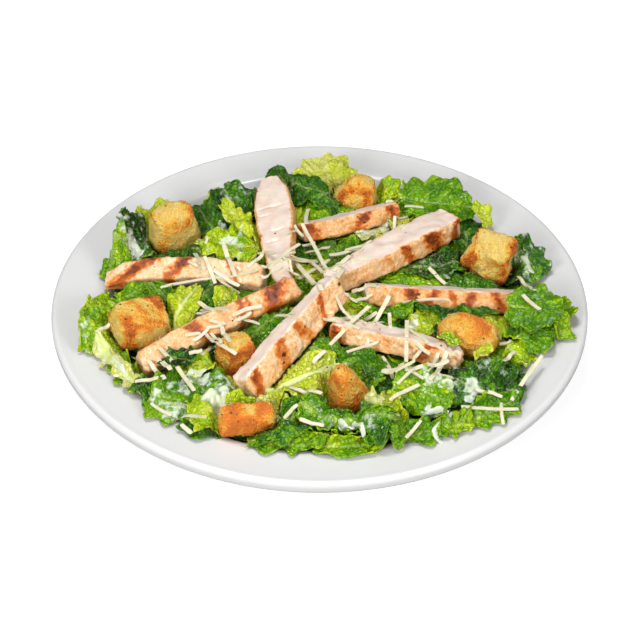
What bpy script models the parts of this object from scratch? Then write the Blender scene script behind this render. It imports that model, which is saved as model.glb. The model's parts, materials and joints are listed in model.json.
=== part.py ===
"""A chicken Caesar salad in its wide-rimmed bowl, as solids at real size.

The bowl is one turned piece. The romaine is one heap that fills the well up to its uneven
outline. Eight slices of grilled chicken breast lie on it like the spokes of a wheel, and eight
croutons sit between them. Lengths are in metres, +Z is up, and the origin is on the bowl's axis,
on the surface that its foot stands on.
"""

import math

import bmesh
import bpy
from mathutils import Matrix, Vector, noise

MM = 0.001

# The bowl: a flat floor, a wall that curves up to the shoulder, and a wide flat rim with a thick
# rolled edge. The wall's rise grows with the power WALL_CURVE of the way out.
BOWL_RADIUS = 135 * MM
BOWL_HEIGHT = 32.5 * MM
EDGE_THICKNESS = 6.6 * MM
EDGE_ROUNDING = 2.6 * MM
EDGE_STEPS = 3
SHOULDER_RADIUS = 114.3 * MM
SHOULDER_HEIGHT = 30.6 * MM
SHOULDER_ROUNDING = 4 * MM
SHOULDER_DROP = 1.6 * MM
RIM_RADII = (122 * MM, 128 * MM)
RIM_CURVE = 1.5
FLOOR_RADIUS = 80 * MM
FLOOR_HEIGHT = 8.6 * MM
FLOOR_THICKNESS = 5.4 * MM
WALL_CURVE = 1.7
WALL_STEPS = 4
FOOT_OUTER_RADIUS = 78 * MM
FOOT_INNER_RADIUS = 72 * MM
FOOT_DRAFT = 1.5 * MM
SEGMENTS = 48

# The bowl's underside between the rolled edge and the foot, as (radius, height).
UNDERSIDE = (
    (124 * MM, 25.8 * MM),
    (113 * MM, 24.8 * MM),
    (98 * MM, 11 * MM),
    (84 * MM, 3.8 * MM),
)

# The heap of leaves. SEAT_GAP is left between it and all that it touches.
SEAT_GAP = 0.35 * MM
SHOULDER_GAP = 3 * SEAT_GAP
HEAP_PEAK = 46 * MM
HEAP_EDGE_HEIGHT = 36.5 * MM
HEAP_EDGE_RADIUS = 113 * MM
HEAP_LIP = 2.2 * MM
HEAP_LIP_WIDTH = 6 * MM
HEAP_RINGS = 9
EDGE_RIPPLE = 3 * MM
EDGE_RIPPLES = 3.1
BUMP_HEIGHT = 4.2 * MM
BUMP_LENGTH = 15 * MM

# Leaves that stand out of the heap: bearing and spread in degrees, reach past the heap's mean
# edge, and rise above its mean surface.
LEAF_LOBES = (
    (-13, 15, 13 * MM, 3 * MM),
    (-42, 12, 7 * MM, 0),
    (-165, 13, 5 * MM, 1 * MM),
    (157, 12, 3 * MM, 3 * MM),
    (122, 14, -12 * MM, 2 * MM),
    (88, 20, -13 * MM, 9 * MM),
    (62, 12, -8 * MM, 4 * MM),
    (36, 12, 0, 4 * MM),
)

# The chicken slices. outer and inner are the ends of a slice's middle line. skin is how thick it
# was sliced, which is the width of its grilled skin. face is the width of its cut face, from skin
# to skin. lean turns the cut face away from the front, in degrees from level. arch lifts the
# middle of the line and bow moves it towards the back. The ends are what is left of the width at
# the outer and the inner end. Places and lengths are in millimetres.
SLICES = {
    "chicken_left": {
        "outer": (-109, 8.5, 33.5), "inner": (-27.2, -1.2, 41.3), "skin": 13, "face": 14,
        "lean": 68, "arch": 2.5, "bow": 3, "ends": (0.3, 0.9),
    },
    "chicken_back": {
        "outer": (-26, 77, 46.5), "inner": (-18.6, -7.9, 48.9), "skin": 10, "face": 20.5,
        "lean": -14, "arch": 0, "bow": 0, "ends": (0.5, 0.5),
    },
    "chicken_back_right": {
        "outer": (41, 56, 43.5), "inner": (-10.0, 33.4, 45), "skin": 10.5, "face": 14,
        "lean": 28, "arch": -0.5, "bow": -1, "ends": (0.8, 0.7),
    },
    "chicken_long_right": {
        "outer": (69, 42, 45.5), "inner": (4.5, -15, 49.5), "skin": 13.5, "face": 19,
        "lean": 6, "arch": 1, "bow": 0, "ends": (0.8, 0.5),
    },
    "chicken_right": {
        "outer": (104.5, -12, 35.5), "inner": (22.6, -15.4, 44), "skin": 11.5, "face": 14,
        "lean": 30, "arch": -0.5, "bow": 0, "ends": (0.7, 0.8),
    },
    "chicken_low_right": {
        "outer": (67, -59.5, 38.5), "inner": (5.2, -42.6, 43.6), "skin": 10.5, "face": 14,
        "lean": 20, "arch": 1, "bow": 1.5, "ends": (0.8, 0.75),
    },
    "chicken_front": {
        "outer": (-34.5, -80, 38.5), "inner": (9, -23, 55), "skin": 15, "face": 12,
        "lean": 30, "arch": 0, "bow": 0, "ends": (0.85, 0.85),
    },
    "chicken_low_left": {
        "outer": (-85, -58.5, 34), "inner": (-11, -13.5, 45.5), "skin": 12.5, "face": 15,
        "lean": 60, "arch": 1.5, "bow": 1, "ends": (0.85, 0.75),
    },
}
SLICE_SECTIONS = 8
SLICE_SQUARENESS = 5.0
SLICE_WAVES = 40
SLICE_UNEVENNESS = 0.7 * MM
OUTER_TAPER_SHARE = 0.3
INNER_TAPER_SHARE = 0.65

# The croutons: centre and sides in millimetres, turn about the three axes in degrees, what is left
# of the two sides at the top, and how round the block is, from 0 for a block to 1 for an egg.
CROUTONS = {
    "crouton_back_left": {
        "at": (-76, 38.5, 45), "size": (27, 21, 28), "turn": (12, -8, 25), "draw": (0.8, 0.8),
        "round": 0.5,
    },
    "crouton_left": {
        "at": (-87, -33, 40), "size": (28, 24, 17), "turn": (14, 6, 28), "draw": (0.92, 0.9),
        "round": 0.18,
    },
    "crouton_back": {
        "at": (21, 69.5, 44.5), "size": (27, 17, 21), "turn": (-8, 18, -12), "draw": (0.5, 0.7),
        "round": 0.2,
    },
    "crouton_right": {
        "at": (87, 15, 44), "size": (26, 20, 25), "turn": (22, 10, -18), "draw": (0.85, 0.85),
        "round": 0.2,
    },
    "crouton_low_right": {
        "at": (71.8, -42.6, 41.2), "size": (29, 20.5, 13), "turn": (24, 14, -10),
        "draw": (0.85, 0.8), "round": 0.6,
    },
    "crouton_low_left": {
        "at": (-39.3, -56.8, 41), "size": (19, 17, 21), "turn": (10, 0, 34), "draw": (0.8, 0.85),
        "round": 0.15,
    },
    "crouton_front_right": {
        "at": (12, -81, 42.5), "size": (22, 18, 24), "turn": (6, -14, 30), "draw": (0.3, 0.6),
        "round": 0.25,
    },
    "crouton_front_left": {
        "at": (-33, -97.9, 37.8), "size": (28, 15, 11.5), "turn": (20, -4, 8), "draw": (0.92, 0.85),
        "round": 0.15,
    },
}
CROUTON_CUTS = 3
CROUTON_CORNER = 1.12
CROUTON_EGG = 1.18
CROUTON_WAVES = 90
CROUTON_UNEVENNESS = 0.9 * MM

COLOURS = {
    "glazed_ceramic": ((0.82, 0.82, 0.81), 0.18),
    "romaine": ((0.13, 0.30, 0.03), 0.35),
    "grilled_chicken": ((0.78, 0.52, 0.33), 0.45),
    "toasted_bread": ((0.75, 0.42, 0.12), 0.8),
}


def clear_scene():
    for old in list(bpy.data.objects):
        bpy.data.objects.remove(old)


def make_material(name):
    colour, roughness = COLOURS[name]
    material = bpy.data.materials.new(name)
    material.use_nodes = True
    shader = material.node_tree.nodes["Principled BSDF"]
    shader.inputs["Base Color"].default_value = (*colour, 1)
    shader.inputs["Roughness"].default_value = roughness
    return material


def add_object(name, mesh, material, parent):
    node = bpy.data.objects.new(name, mesh)
    mesh.materials.append(material)
    node.parent = parent
    bpy.context.scene.collection.objects.link(node)
    return node


def mesh_from(shape, name):
    """A mesh of the shape in triangles, with every face turned outwards."""
    bmesh.ops.triangulate(shape, faces=shape.faces)
    shape.normal_update()
    bmesh.ops.recalc_face_normals(shape, faces=shape.faces)
    mesh = bpy.data.meshes.new(name)
    shape.to_mesh(mesh)
    shape.free()
    return mesh


def arc(centre, radius, start, end, steps):
    """Points of a round stretch of a profile, start and end in degrees."""
    turn = [math.radians(start + (end - start) * i / steps) for i in range(steps + 1)]
    return [(centre[0] + radius * math.cos(a), centre[1] + radius * math.sin(a)) for a in turn]


def well_profile():
    """(radius, height) of the bowl's inside, from the middle of the floor to the shoulder."""
    points = [(0, FLOOR_HEIGHT)]
    width = SHOULDER_RADIUS - SHOULDER_ROUNDING - FLOOR_RADIUS
    rise = SHOULDER_HEIGHT - SHOULDER_DROP - FLOOR_HEIGHT
    for i in range(WALL_STEPS + 1):
        share = i / WALL_STEPS
        points.append((FLOOR_RADIUS + width * share, FLOOR_HEIGHT + rise * share**WALL_CURVE))
    points.append((SHOULDER_RADIUS, SHOULDER_HEIGHT))
    return points


def rim_height(radius):
    """The height of the rim's top face: a flat band that rises a little to its rolled edge."""
    share = (radius - SHOULDER_RADIUS) / (BOWL_RADIUS - SHOULDER_RADIUS)
    return SHOULDER_HEIGHT + (BOWL_HEIGHT - SHOULDER_HEIGHT) * max(0, share) ** RIM_CURVE


def bowl_profile():
    """The whole section, from the middle of the floor over the rim to the middle of the base."""
    edge_centre = BOWL_RADIUS - EDGE_ROUNDING
    under_edge = BOWL_HEIGHT - EDGE_THICKNESS
    points = well_profile()
    points += [(radius, rim_height(radius)) for radius in RIM_RADII]
    points += arc((edge_centre, BOWL_HEIGHT - EDGE_ROUNDING), EDGE_ROUNDING, 90, 0, EDGE_STEPS)
    points += arc((edge_centre, under_edge + EDGE_ROUNDING), EDGE_ROUNDING, 0, -90, EDGE_STEPS)
    points += UNDERSIDE
    points += [(FOOT_OUTER_RADIUS, 0), (FOOT_INNER_RADIUS, 0)]
    points.append((FOOT_INNER_RADIUS - FOOT_DRAFT, FLOOR_HEIGHT - FLOOR_THICKNESS))
    points.append((0, FLOOR_HEIGHT - FLOOR_THICKNESS))
    return points


def turned(points):
    """A closed solid from a section that starts and ends on the axis."""
    shape = bmesh.new()
    line = [shape.verts.new((radius, 0, height)) for radius, height in points]
    edges = [shape.edges.new(pair) for pair in zip(line, line[1:])]
    bmesh.ops.spin(
        shape, geom=line + edges, cent=(0, 0, 0), axis=(0, 0, 1), dvec=(0, 0, 0),
        angle=2 * math.pi, steps=SEGMENTS, use_merge=True, use_duplicate=False,
    )
    bmesh.ops.remove_doubles(shape, verts=shape.verts, dist=0.01 * MM)
    return shape


def make_bowl(material, parent):
    mesh = mesh_from(turned(bowl_profile()), "bowl")
    mesh.shade_smooth()
    mesh.set_sharp_from_angle(angle=math.radians(40))
    return add_object("bowl", mesh, material, parent)


def lobes_at(bearing):
    """(reach, rise) that the standing leaves add at a bearing in degrees."""
    reach = rise = 0
    for middle, spread, out, up in LEAF_LOBES:
        away = (bearing - middle + 180) % 360 - 180
        share = math.exp(-((away / spread) ** 2))
        reach += out * share
        rise += up * share
    return reach, rise


def heap_edge(bearing):
    """How far out the leaves reach at a bearing in degrees: a wavy line near the shoulder."""
    a = math.radians(bearing)
    ripple = noise.noise(Vector((math.cos(a), math.sin(a), 2.4)) * EDGE_RIPPLES)
    return HEAP_EDGE_RADIUS + lobes_at(bearing)[0] + EDGE_RIPPLE * ripple


def heap_top(radius, bearing):
    """Height of the heap's surface: a low dome with the bumps of single leaves."""
    a = math.radians(bearing)
    place = Vector((radius * math.cos(a), radius * math.sin(a), 0)) / BUMP_LENGTH
    share = radius / heap_edge(bearing)
    dome = HEAP_PEAK + (HEAP_EDGE_HEIGHT - HEAP_PEAK) * share**2
    rise = lobes_at(bearing)[1] * math.sin(math.pi * min(1, share**2))
    return dome + rise + BUMP_HEIGHT * noise.noise(place + Vector((0, 0, 2.7)))


def wall_height(radius):
    """Height of the bowl's top face at a radius, read along its profile."""
    profile = well_profile()
    for (r0, h0), (r1, h1) in zip(profile, profile[1:]):
        if r0 <= radius <= r1:
            return h0 + (h1 - h0) * (radius - r0) / (r1 - r0)
    return rim_height(radius)


def heap_under_radius(radius, edge):
    """A radius of the well, drawn in where the leaves end before it."""
    start = edge - HEAP_LIP_WIDTH
    if radius <= start:
        return radius
    room = 0.75 * HEAP_LIP_WIDTH / (SHOULDER_RADIUS + 1 * MM - start)
    return start + (radius - start) * min(1, room)


def make_heap(material, parent):
    """Rings of points up the wall of the well to the leaves' edge, and back over the top."""
    shape = bmesh.new()
    step = 360 / SEGMENTS
    floor = shape.verts.new((0, 0, FLOOR_HEIGHT + SEAT_GAP))
    peak = shape.verts.new((0, 0, heap_top(0, 0)))
    edges = [heap_edge(i * step) for i in range(SEGMENTS)]
    rings = []
    for radius, _ in well_profile()[1:]:
        under = [heap_under_radius(radius, edge) for edge in edges]
        clear = SEAT_GAP if radius < SHOULDER_RADIUS - 2 * SHOULDER_ROUNDING else SHOULDER_GAP
        rings.append([(r, wall_height(r) + clear) for r in under])
    rings.append([(edge, wall_height(edge) + SEAT_GAP + HEAP_LIP) for edge in edges])
    for k in range(HEAP_RINGS, 0, -1):
        over = [edge * k / (HEAP_RINGS + 0.6) for edge in edges]
        rings.append([(r, heap_top(r, i * step)) for i, r in enumerate(over)])
    made = []
    for ring in rings:
        turns = [Matrix.Rotation(math.radians(i * step), 3, "Z") for i in range(SEGMENTS)]
        made.append([
            shape.verts.new(turn @ Vector((radius, 0, height)))
            for turn, (radius, height) in zip(turns, ring)
        ])
    for lower, upper in zip(made, made[1:]):
        for i in range(SEGMENTS):
            j = (i + 1) % SEGMENTS
            shape.faces.new((lower[i], lower[j], upper[j], upper[i]))
    for centre, ring in ((floor, made[0]), (peak, made[-1])):
        for i in range(SEGMENTS):
            shape.faces.new((centre, ring[i], ring[(i + 1) % SEGMENTS]))
    return add_object("salad_heap", mesh_from(shape, "salad_heap"), material, parent)


def unevenness(place):
    """A smooth random-looking shift that is the same each time for the same place."""
    return Vector([noise.noise(place + Vector((0, 0, 17.3 * axis))) for axis in range(3)])


def block(cuts):
    """A cube from -1 to 1 with its faces cut into a grid, cuts given for each axis."""
    shape = bmesh.new()
    bmesh.ops.create_cube(shape, size=2)
    for axis in range(3):
        along = [
            edge for edge in shape.edges
            if abs(edge.verts[0].co[axis] - edge.verts[1].co[axis]) > 1.9
        ]
        if cuts[axis]:
            bmesh.ops.subdivide_edges(shape, edges=along, cuts=cuts[axis], use_grid_fill=True)
    return shape


def slice_axes(data):
    """The frame of a slice: its ends, the way its front skin faces and the way its cut face
    faces."""
    outer, inner = Vector(data["outer"]) * MM, Vector(data["inner"]) * MM
    along = (inner - outer).normalized()
    back = Vector((0, 0, 1)).cross(along).normalized()
    back = back if back.y > 0 else -back
    upright = along.cross(back)
    upright = upright if upright.z > 0 else -upright
    lean = math.radians(data["lean"])
    cut_normal = upright * math.cos(lean) + back * math.sin(lean)
    skin_normal = upright * math.sin(lean) - back * math.cos(lean)
    return outer, inner, skin_normal, cut_normal


def slice_width(data, share):
    """What is left of a slice's full width along it, drawn in at both ends."""
    first, last = data["ends"]
    near = max(0, 1 - share / OUTER_TAPER_SHARE) ** 2 * (1 - first)
    far = max(0, 1 - (1 - share) / INNER_TAPER_SHARE) ** 1.6 * (1 - last)
    return 1 - near - far


def slice_shape(data, grow):
    """A bar of meat along its line: flat cut faces, rounded skins and drawn-in ends."""
    shape = block((SLICE_SECTIONS - 1, 1, 1))
    outer, inner, skin_normal, cut_normal = slice_axes(data)
    along = (inner - outer).normalized()
    half_face, half_skin = data["face"] * MM / 2, data["skin"] * MM / 2
    for vert in shape.verts:
        end, across, up = vert.co
        share = (end + 1) / 2
        size = max(abs(across), abs(up))
        if size > 0:
            spread = abs(across) ** SLICE_SQUARENESS + abs(up) ** SLICE_SQUARENESS
            fit = size / spread ** (1 / SLICE_SQUARENESS)
            across, up = across * fit, up * fit
        width = slice_width(data, share)
        swell = 4 * share * (1 - share) * MM
        line = outer.lerp(inner, share) + Vector((0, data["bow"], data["arch"])) * swell
        line += unevenness(line * SLICE_WAVES + Vector((across, up, 0)) * 0.6) * SLICE_UNEVENNESS
        line += skin_normal * across * (half_face * width + grow)
        line += cut_normal * up * (half_skin * (0.7 + 0.3 * width) + grow)
        vert.co = line + along * (grow if share == 1 else -grow if share == 0 else 0)
    return shape


def crouton_shape(data, grow):
    """A torn or cut block of fried bread: soft corners, a top drawn in and an uneven skin."""
    shape = block((CROUTON_CUTS,) * 3)
    turn = Matrix.Identity(3)
    for axis, angle in zip("XYZ", data["turn"]):
        turn = Matrix.Rotation(math.radians(angle), 3, axis) @ turn
    half = Vector(data["size"]) * MM / 2
    centre = Vector(data["at"]) * MM
    for vert in shape.verts:
        square = vert.co.copy()
        egg = square.normalized() * CROUTON_EGG
        corner = CROUTON_CORNER / max(CROUTON_CORNER, math.sqrt(square.length))
        form = (square * corner).lerp(egg, data["round"])
        rise = (form.z + 1) / 2
        form.x *= 1 - (1 - data["draw"][0]) * rise
        form.y *= 1 - (1 - data["draw"][1]) * rise
        place = Vector((form.x * half.x, form.y * half.y, form.z * half.z))
        place += unevenness((place + centre * 3) * CROUTON_WAVES) * CROUTON_UNEVENNESS
        place += form.normalized() * grow
        vert.co = centre + turn @ place
    return shape


def add_topping(name, maker, data, material, parent, seats):
    """A topping as its own solid, and a slightly larger cutter that seats it in the heap."""
    add_object(name, mesh_from(maker(data, 0), name), material, parent)
    cutter = bpy.data.objects.new(f"seat_{name}", mesh_from(maker(data, SEAT_GAP), f"seat_{name}"))
    cutter.parent = parent
    cutter.hide_render = True
    cutter.display_type = "WIRE"
    seats.objects.link(cutter)


def cut_seats(heap, seats):
    cut = heap.modifiers.new("seats", "BOOLEAN")
    cut.operation = "DIFFERENCE"
    cut.solver = "EXACT"
    cut.operand_type = "COLLECTION"
    cut.collection = seats


def main():
    clear_scene()
    plate = bpy.data.objects.new("plated_salad", None)
    bpy.context.scene.collection.objects.link(plate)
    materials = {name: make_material(name) for name in COLOURS}
    make_bowl(materials["glazed_ceramic"], plate)
    heap = make_heap(materials["romaine"], plate)
    seats = bpy.data.collections.new("topping_seats")
    bpy.context.scene.collection.children.link(seats)
    for name, data in SLICES.items():
        add_topping(name, slice_shape, data, materials["grilled_chicken"], plate, seats)
    for name, data in CROUTONS.items():
        add_topping(name, crouton_shape, data, materials["toasted_bread"], plate, seats)
    cut_seats(heap, seats)


main()
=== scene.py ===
import json
import math
import random

import bmesh
import bpy
import numpy as np
from mathutils import Matrix, Vector, noise
from mathutils.bvhtree import BVHTree

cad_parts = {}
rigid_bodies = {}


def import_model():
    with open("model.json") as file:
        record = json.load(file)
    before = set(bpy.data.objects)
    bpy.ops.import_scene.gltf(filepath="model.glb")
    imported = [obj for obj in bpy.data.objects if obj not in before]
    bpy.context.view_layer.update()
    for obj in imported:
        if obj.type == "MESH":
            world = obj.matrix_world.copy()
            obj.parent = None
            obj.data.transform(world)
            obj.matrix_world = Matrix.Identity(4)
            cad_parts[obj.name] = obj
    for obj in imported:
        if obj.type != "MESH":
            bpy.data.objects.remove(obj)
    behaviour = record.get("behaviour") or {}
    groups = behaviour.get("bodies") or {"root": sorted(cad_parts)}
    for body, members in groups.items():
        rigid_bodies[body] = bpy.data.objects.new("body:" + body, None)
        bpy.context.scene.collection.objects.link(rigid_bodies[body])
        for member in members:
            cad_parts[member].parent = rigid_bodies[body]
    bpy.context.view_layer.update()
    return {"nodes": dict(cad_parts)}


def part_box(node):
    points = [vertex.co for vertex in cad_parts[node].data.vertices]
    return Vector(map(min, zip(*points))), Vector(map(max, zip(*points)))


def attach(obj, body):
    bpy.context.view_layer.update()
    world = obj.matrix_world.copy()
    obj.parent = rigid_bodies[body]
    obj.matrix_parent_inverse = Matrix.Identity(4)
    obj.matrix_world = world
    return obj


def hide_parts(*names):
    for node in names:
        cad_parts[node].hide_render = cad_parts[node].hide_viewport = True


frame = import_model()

# Lengths below are in millimetres and turns in degrees. addPiece brings a finished mesh to metres.
mm = 0.001
scene = bpy.context.scene
nodes = frame["nodes"]
toppingNames = sorted(name for name in nodes if name.startswith(("chicken", "crouton")))


def clamp(value, low=0.0, high=1.0):
    return min(high, max(low, value))


def ease(low, high, value):
    share = clamp((value - low) / (high - low))
    return share * share * (3 - 2 * share)


def wobble(x, y, z=0.0):
    # smooth uneven value between about -1 and 1
    return noise.noise(Vector((x, y, z)))


def srgb(red, green, blue):
    levels = []
    for level in (red, green, blue):
        level /= 255
        levels.append(level / 12.92 if level <= 0.04045 else ((level + 0.055) / 1.055) ** 2.4)
    return (*levels, 1)


def nodeBox(name):
    low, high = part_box(name)
    return low / mm, high / mm


def solidTree(name):
    # a search tree over a CAD node's faces, in millimetres
    mesh = nodes[name].data
    points = [vert.co / mm for vert in mesh.vertices]
    return BVHTree.FromPolygons(points, [tuple(face.vertices) for face in mesh.polygons])


def addPiece(name, shape, material, replaced=()):
    for face in shape.faces:
        face.smooth = True
    bmesh.ops.scale(shape, vec=(mm, mm, mm), verts=shape.verts)
    mesh = bpy.data.meshes.new(name)
    shape.to_mesh(mesh)
    shape.free()
    piece = bpy.data.objects.new(name, mesh)
    mesh.materials.append(material)
    scene.collection.objects.link(piece)
    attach(piece, "root")
    if replaced:
        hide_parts(*replaced)
    return piece


def outwards(shape):
    shape.normal_update()
    bmesh.ops.recalc_face_normals(shape, faces=shape.faces)


# Shader building blocks
def newMaterial(name):
    material = bpy.data.materials.new(name)
    material.use_nodes = True
    return material, material.node_tree, material.node_tree.nodes["Principled BSDF"]


def plug(tree, socket, value):
    # a link when value is a socket, and a plain setting otherwise
    if isinstance(value, bpy.types.NodeSocket):
        tree.links.new(value, socket)
    else:
        socket.default_value = value


def calc(tree, operation, first, second):
    node = tree.nodes.new("ShaderNodeMath")
    node.operation = operation
    plug(tree, node.inputs[0], first)
    plug(tree, node.inputs[1], second)
    return node.outputs[0]


def plus(tree, value, extra, share, middle=0.5):
    # value and a share of how far extra is from its middle
    if middle:
        extra = calc(tree, "SUBTRACT", extra, middle)
    return calc(tree, "ADD", value, calc(tree, "MULTIPLY", extra, share))


def mixed(tree, share, first, second):
    node = tree.nodes.new("ShaderNodeMix")
    node.data_type = "RGBA"
    plug(tree, node.inputs[0], share)
    plug(tree, node.inputs[6], first)
    plug(tree, node.inputs[7], second)
    return node.outputs[2]


def stretched(tree, value, low, high, newLow=0.0, newHigh=1.0):
    node = tree.nodes.new("ShaderNodeMapRange")
    node.interpolation_type = "SMOOTHSTEP"
    for index, setting in enumerate((value, low, high, newLow, newHigh)):
        plug(tree, node.inputs[index], setting)
    return node.outputs[0]


def ramp(tree, share, stops):
    node = tree.nodes.new("ShaderNodeValToRGB")
    ends = node.color_ramp.elements
    while len(ends) < len(stops):
        ends.new(0.5)
    for end, (place, colour) in zip(ends, stops):
        end.position = place
        end.color = colour
    plug(tree, node.inputs[0], share)
    return node.outputs[0]


def attribute(tree, name):
    node = tree.nodes.new("ShaderNodeAttribute")
    node.attribute_name = name
    return node.outputs["Fac"]


def objectPlace(tree):
    return tree.nodes.new("ShaderNodeTexCoord").outputs["Object"]


def grain(tree, place, scale, detail=3.0, roughness=0.55):
    node = tree.nodes.new("ShaderNodeTexNoise")
    plug(tree, node.inputs["Vector"], place)
    plug(tree, node.inputs["Scale"], scale)
    plug(tree, node.inputs["Detail"], detail)
    plug(tree, node.inputs["Roughness"], roughness)
    return node.outputs["Fac"]


def cells(tree, place, scale, feature="F1"):
    node = tree.nodes.new("ShaderNodeTexVoronoi")
    node.feature = feature
    plug(tree, node.inputs["Vector"], place)
    plug(tree, node.inputs["Scale"], scale)
    return node.outputs["Distance"]


def relief(tree, height, depth):
    node = tree.nodes.new("ShaderNodeBump")
    node.inputs["Strength"].default_value = 1.0
    node.inputs["Distance"].default_value = depth * mm
    plug(tree, node.inputs["Height"], height)
    return node.outputs["Normal"]


def newGroup(name, setting, usual):
    # a group that takes one number and puts out colour, roughness and height
    group = bpy.data.node_groups.new(name, "ShaderNodeTree")
    socket = group.interface.new_socket(setting, in_out="INPUT", socket_type="NodeSocketFloat")
    socket.default_value = usual
    for label, kind in (("Colour", "Color"), ("Roughness", "Float"), ("Height", "Float")):
        group.interface.new_socket(label, in_out="OUTPUT", socket_type="NodeSocket" + kind)
    given = group.nodes.new("NodeGroupInput").outputs[0]
    return group, given, group.nodes.new("NodeGroupOutput").inputs


def groupMaterial(name, group, setting, depth, ior):
    # a material with a group's colour, roughness and relief, depth millimetres deep
    material, tree, shader = newMaterial(name)
    node = tree.nodes.new("ShaderNodeGroup")
    node.node_tree = group
    node.inputs[0].default_value = setting
    plug(tree, shader.inputs["Base Color"], node.outputs["Colour"])
    plug(tree, shader.inputs["Roughness"], node.outputs["Roughness"])
    plug(tree, shader.inputs["Normal"], relief(tree, node.outputs["Height"], depth))
    shader.inputs["IOR"].default_value = ior
    return material, shader


def letLightIn(shader, weight, radius, depth):
    # light that goes in, spreads by colour up to depth millimetres and comes out again
    shader.inputs["Subsurface Weight"].default_value = weight
    shader.inputs["Subsurface Radius"].default_value = radius
    shader.inputs["Subsurface Scale"].default_value = depth * mm


def paintTwoTone(tree, shader, share, look):
    plug(tree, shader.inputs["Base Color"], mixed(tree, share, look["colour"], look["shade"]))


# The bowl
bowlLook = {
    "segments": 176,
    "floorRadius": 80, "floorHeight": 8.6,
    "shoulderRadius": 114.3, "shoulderHeight": 30.6, "shoulderRounding": 4, "shoulderDrop": 1.6,
    "wallPower": 1.7, "wallSteps": 20, "rimPower": 1.5, "rimSteps": 8,
    "edgeRounding": 2.6, "edgeThickness": 6.6, "edgeSteps": 9,
    "under": ((124, 25.8), (113, 24.8), (98, 11), (84, 3.8)),
    "foot": (78, 72), "recess": 3.2,
    "glaze": srgb(217, 216, 215), "glazeShade": srgb(213, 213, 213), "speck": srgb(205, 203, 198),
    "gloss": 0.22, "ripple": 0.05,
}
bowlHigh = nodeBox("bowl")[1]
bowlRadius = bowlHigh.x
rimTop = bowlHigh.z


def softened(points, times):
    # cuts the corners of an open line and keeps its ends
    for _ in range(times):
        cut = [points[0]]
        for start, end in zip(points, points[1:]):
            cut.append(tuple(a * 0.75 + b * 0.25 for a, b in zip(start, end)))
            cut.append(tuple(a * 0.25 + b * 0.75 for a, b in zip(start, end)))
        points = [*cut, points[-1]]
    return points


def bowlSection():
    # from the middle of the well over the rim to the middle of the underside
    look = bowlLook
    line = [(0, look["floorHeight"]), (40, look["floorHeight"])]
    wallEnd = look["shoulderRadius"] - look["shoulderRounding"]
    wallTop = look["shoulderHeight"] - look["shoulderDrop"]
    for i in range(look["wallSteps"] + 1):
        share = i / look["wallSteps"]
        radius = look["floorRadius"] + (wallEnd - look["floorRadius"]) * share
        rise = (wallTop - look["floorHeight"]) * share ** look["wallPower"]
        line.append((radius, look["floorHeight"] + rise))
    rounding = look["edgeRounding"]
    for i in range(look["rimSteps"] + 1):
        share = i / look["rimSteps"]
        radius = look["shoulderRadius"] + (bowlRadius - rounding - look["shoulderRadius"]) * share
        full = (radius - look["shoulderRadius"]) / (bowlRadius - look["shoulderRadius"])
        rise = (rimTop - look["shoulderHeight"]) * full ** look["rimPower"]
        line.append((radius, look["shoulderHeight"] + rise))
    line[-1] = (line[-1][0], rimTop)
    line = line[:2] + softened(line[2:-1], 2) + line[-1:]
    middle = bowlRadius - rounding
    for top, start in ((rimTop - rounding, 90), (rimTop - look["edgeThickness"] + rounding, 0)):
        for i in range(1, look["edgeSteps"] + 1):
            turn = math.radians(start - 90 * i / look["edgeSteps"])
            line.append((middle + rounding * math.cos(turn), top + rounding * math.sin(turn)))
    outerFoot, innerFoot = look["foot"]
    under = [line.pop(), *look["under"], (outerFoot + 1.2, 0.8), (outerFoot, 0)]
    line += softened(under, 3)
    line += softened([(outerFoot - 1, 0), (innerFoot, 0), (innerFoot - 1.5, look["recess"])], 2)
    line += [(30, look["recess"]), (0, look["recess"])]
    return line


def makeBowl():
    look = bowlLook
    shape = bmesh.new()
    line = [shape.verts.new((radius, 0, height)) for radius, height in bowlSection()]
    edges = [shape.edges.new(pair) for pair in zip(line, line[1:])]
    bmesh.ops.spin(
        shape, geom=line + edges, cent=(0, 0, 0), axis=(0, 0, 1), dvec=(0, 0, 0),
        angle=2 * math.pi, steps=look["segments"], use_merge=True, use_duplicate=False,
    )
    bmesh.ops.remove_doubles(shape, verts=shape.verts, dist=0.01)
    outwards(shape)
    material, tree, shader = newMaterial("bowl_glaze")
    place = objectPlace(tree)
    cloud = grain(tree, place, 9, 2)
    speck = stretched(tree, grain(tree, place, 420, 2), 0.66, 0.74)
    glaze = mixed(tree, cloud, look["glaze"], look["glazeShade"])
    faint = calc(tree, "MULTIPLY", speck, 0.12)
    plug(tree, shader.inputs["Base Color"], mixed(tree, faint, glaze, look["speck"]))
    gloss = stretched(tree, cloud, 0.3, 0.7, look["gloss"] - 0.03, look["gloss"] + 0.04)
    plug(tree, shader.inputs["Roughness"], gloss)
    shader.inputs["IOR"].default_value = 1.5
    plug(tree, shader.inputs["Normal"], relief(tree, grain(tree, place, 28, 2), look["ripple"]))
    addPiece("salad_bowl", shape, material, ["bowl"])


makeBowl()
print("bowl made")


# Height maps of what lies in the bowl, on square cells
cell = 2.0
mapHalf = 140.0
mapSize = int(2 * mapHalf / cell) + 1


def cellOf(x, y):
    column = np.clip(np.rint((np.asarray(x) + mapHalf) / cell).astype(int), 0, mapSize - 1)
    row = np.clip(np.rint((np.asarray(y) + mapHalf) / cell).astype(int), 0, mapSize - 1)
    return row, column


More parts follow.
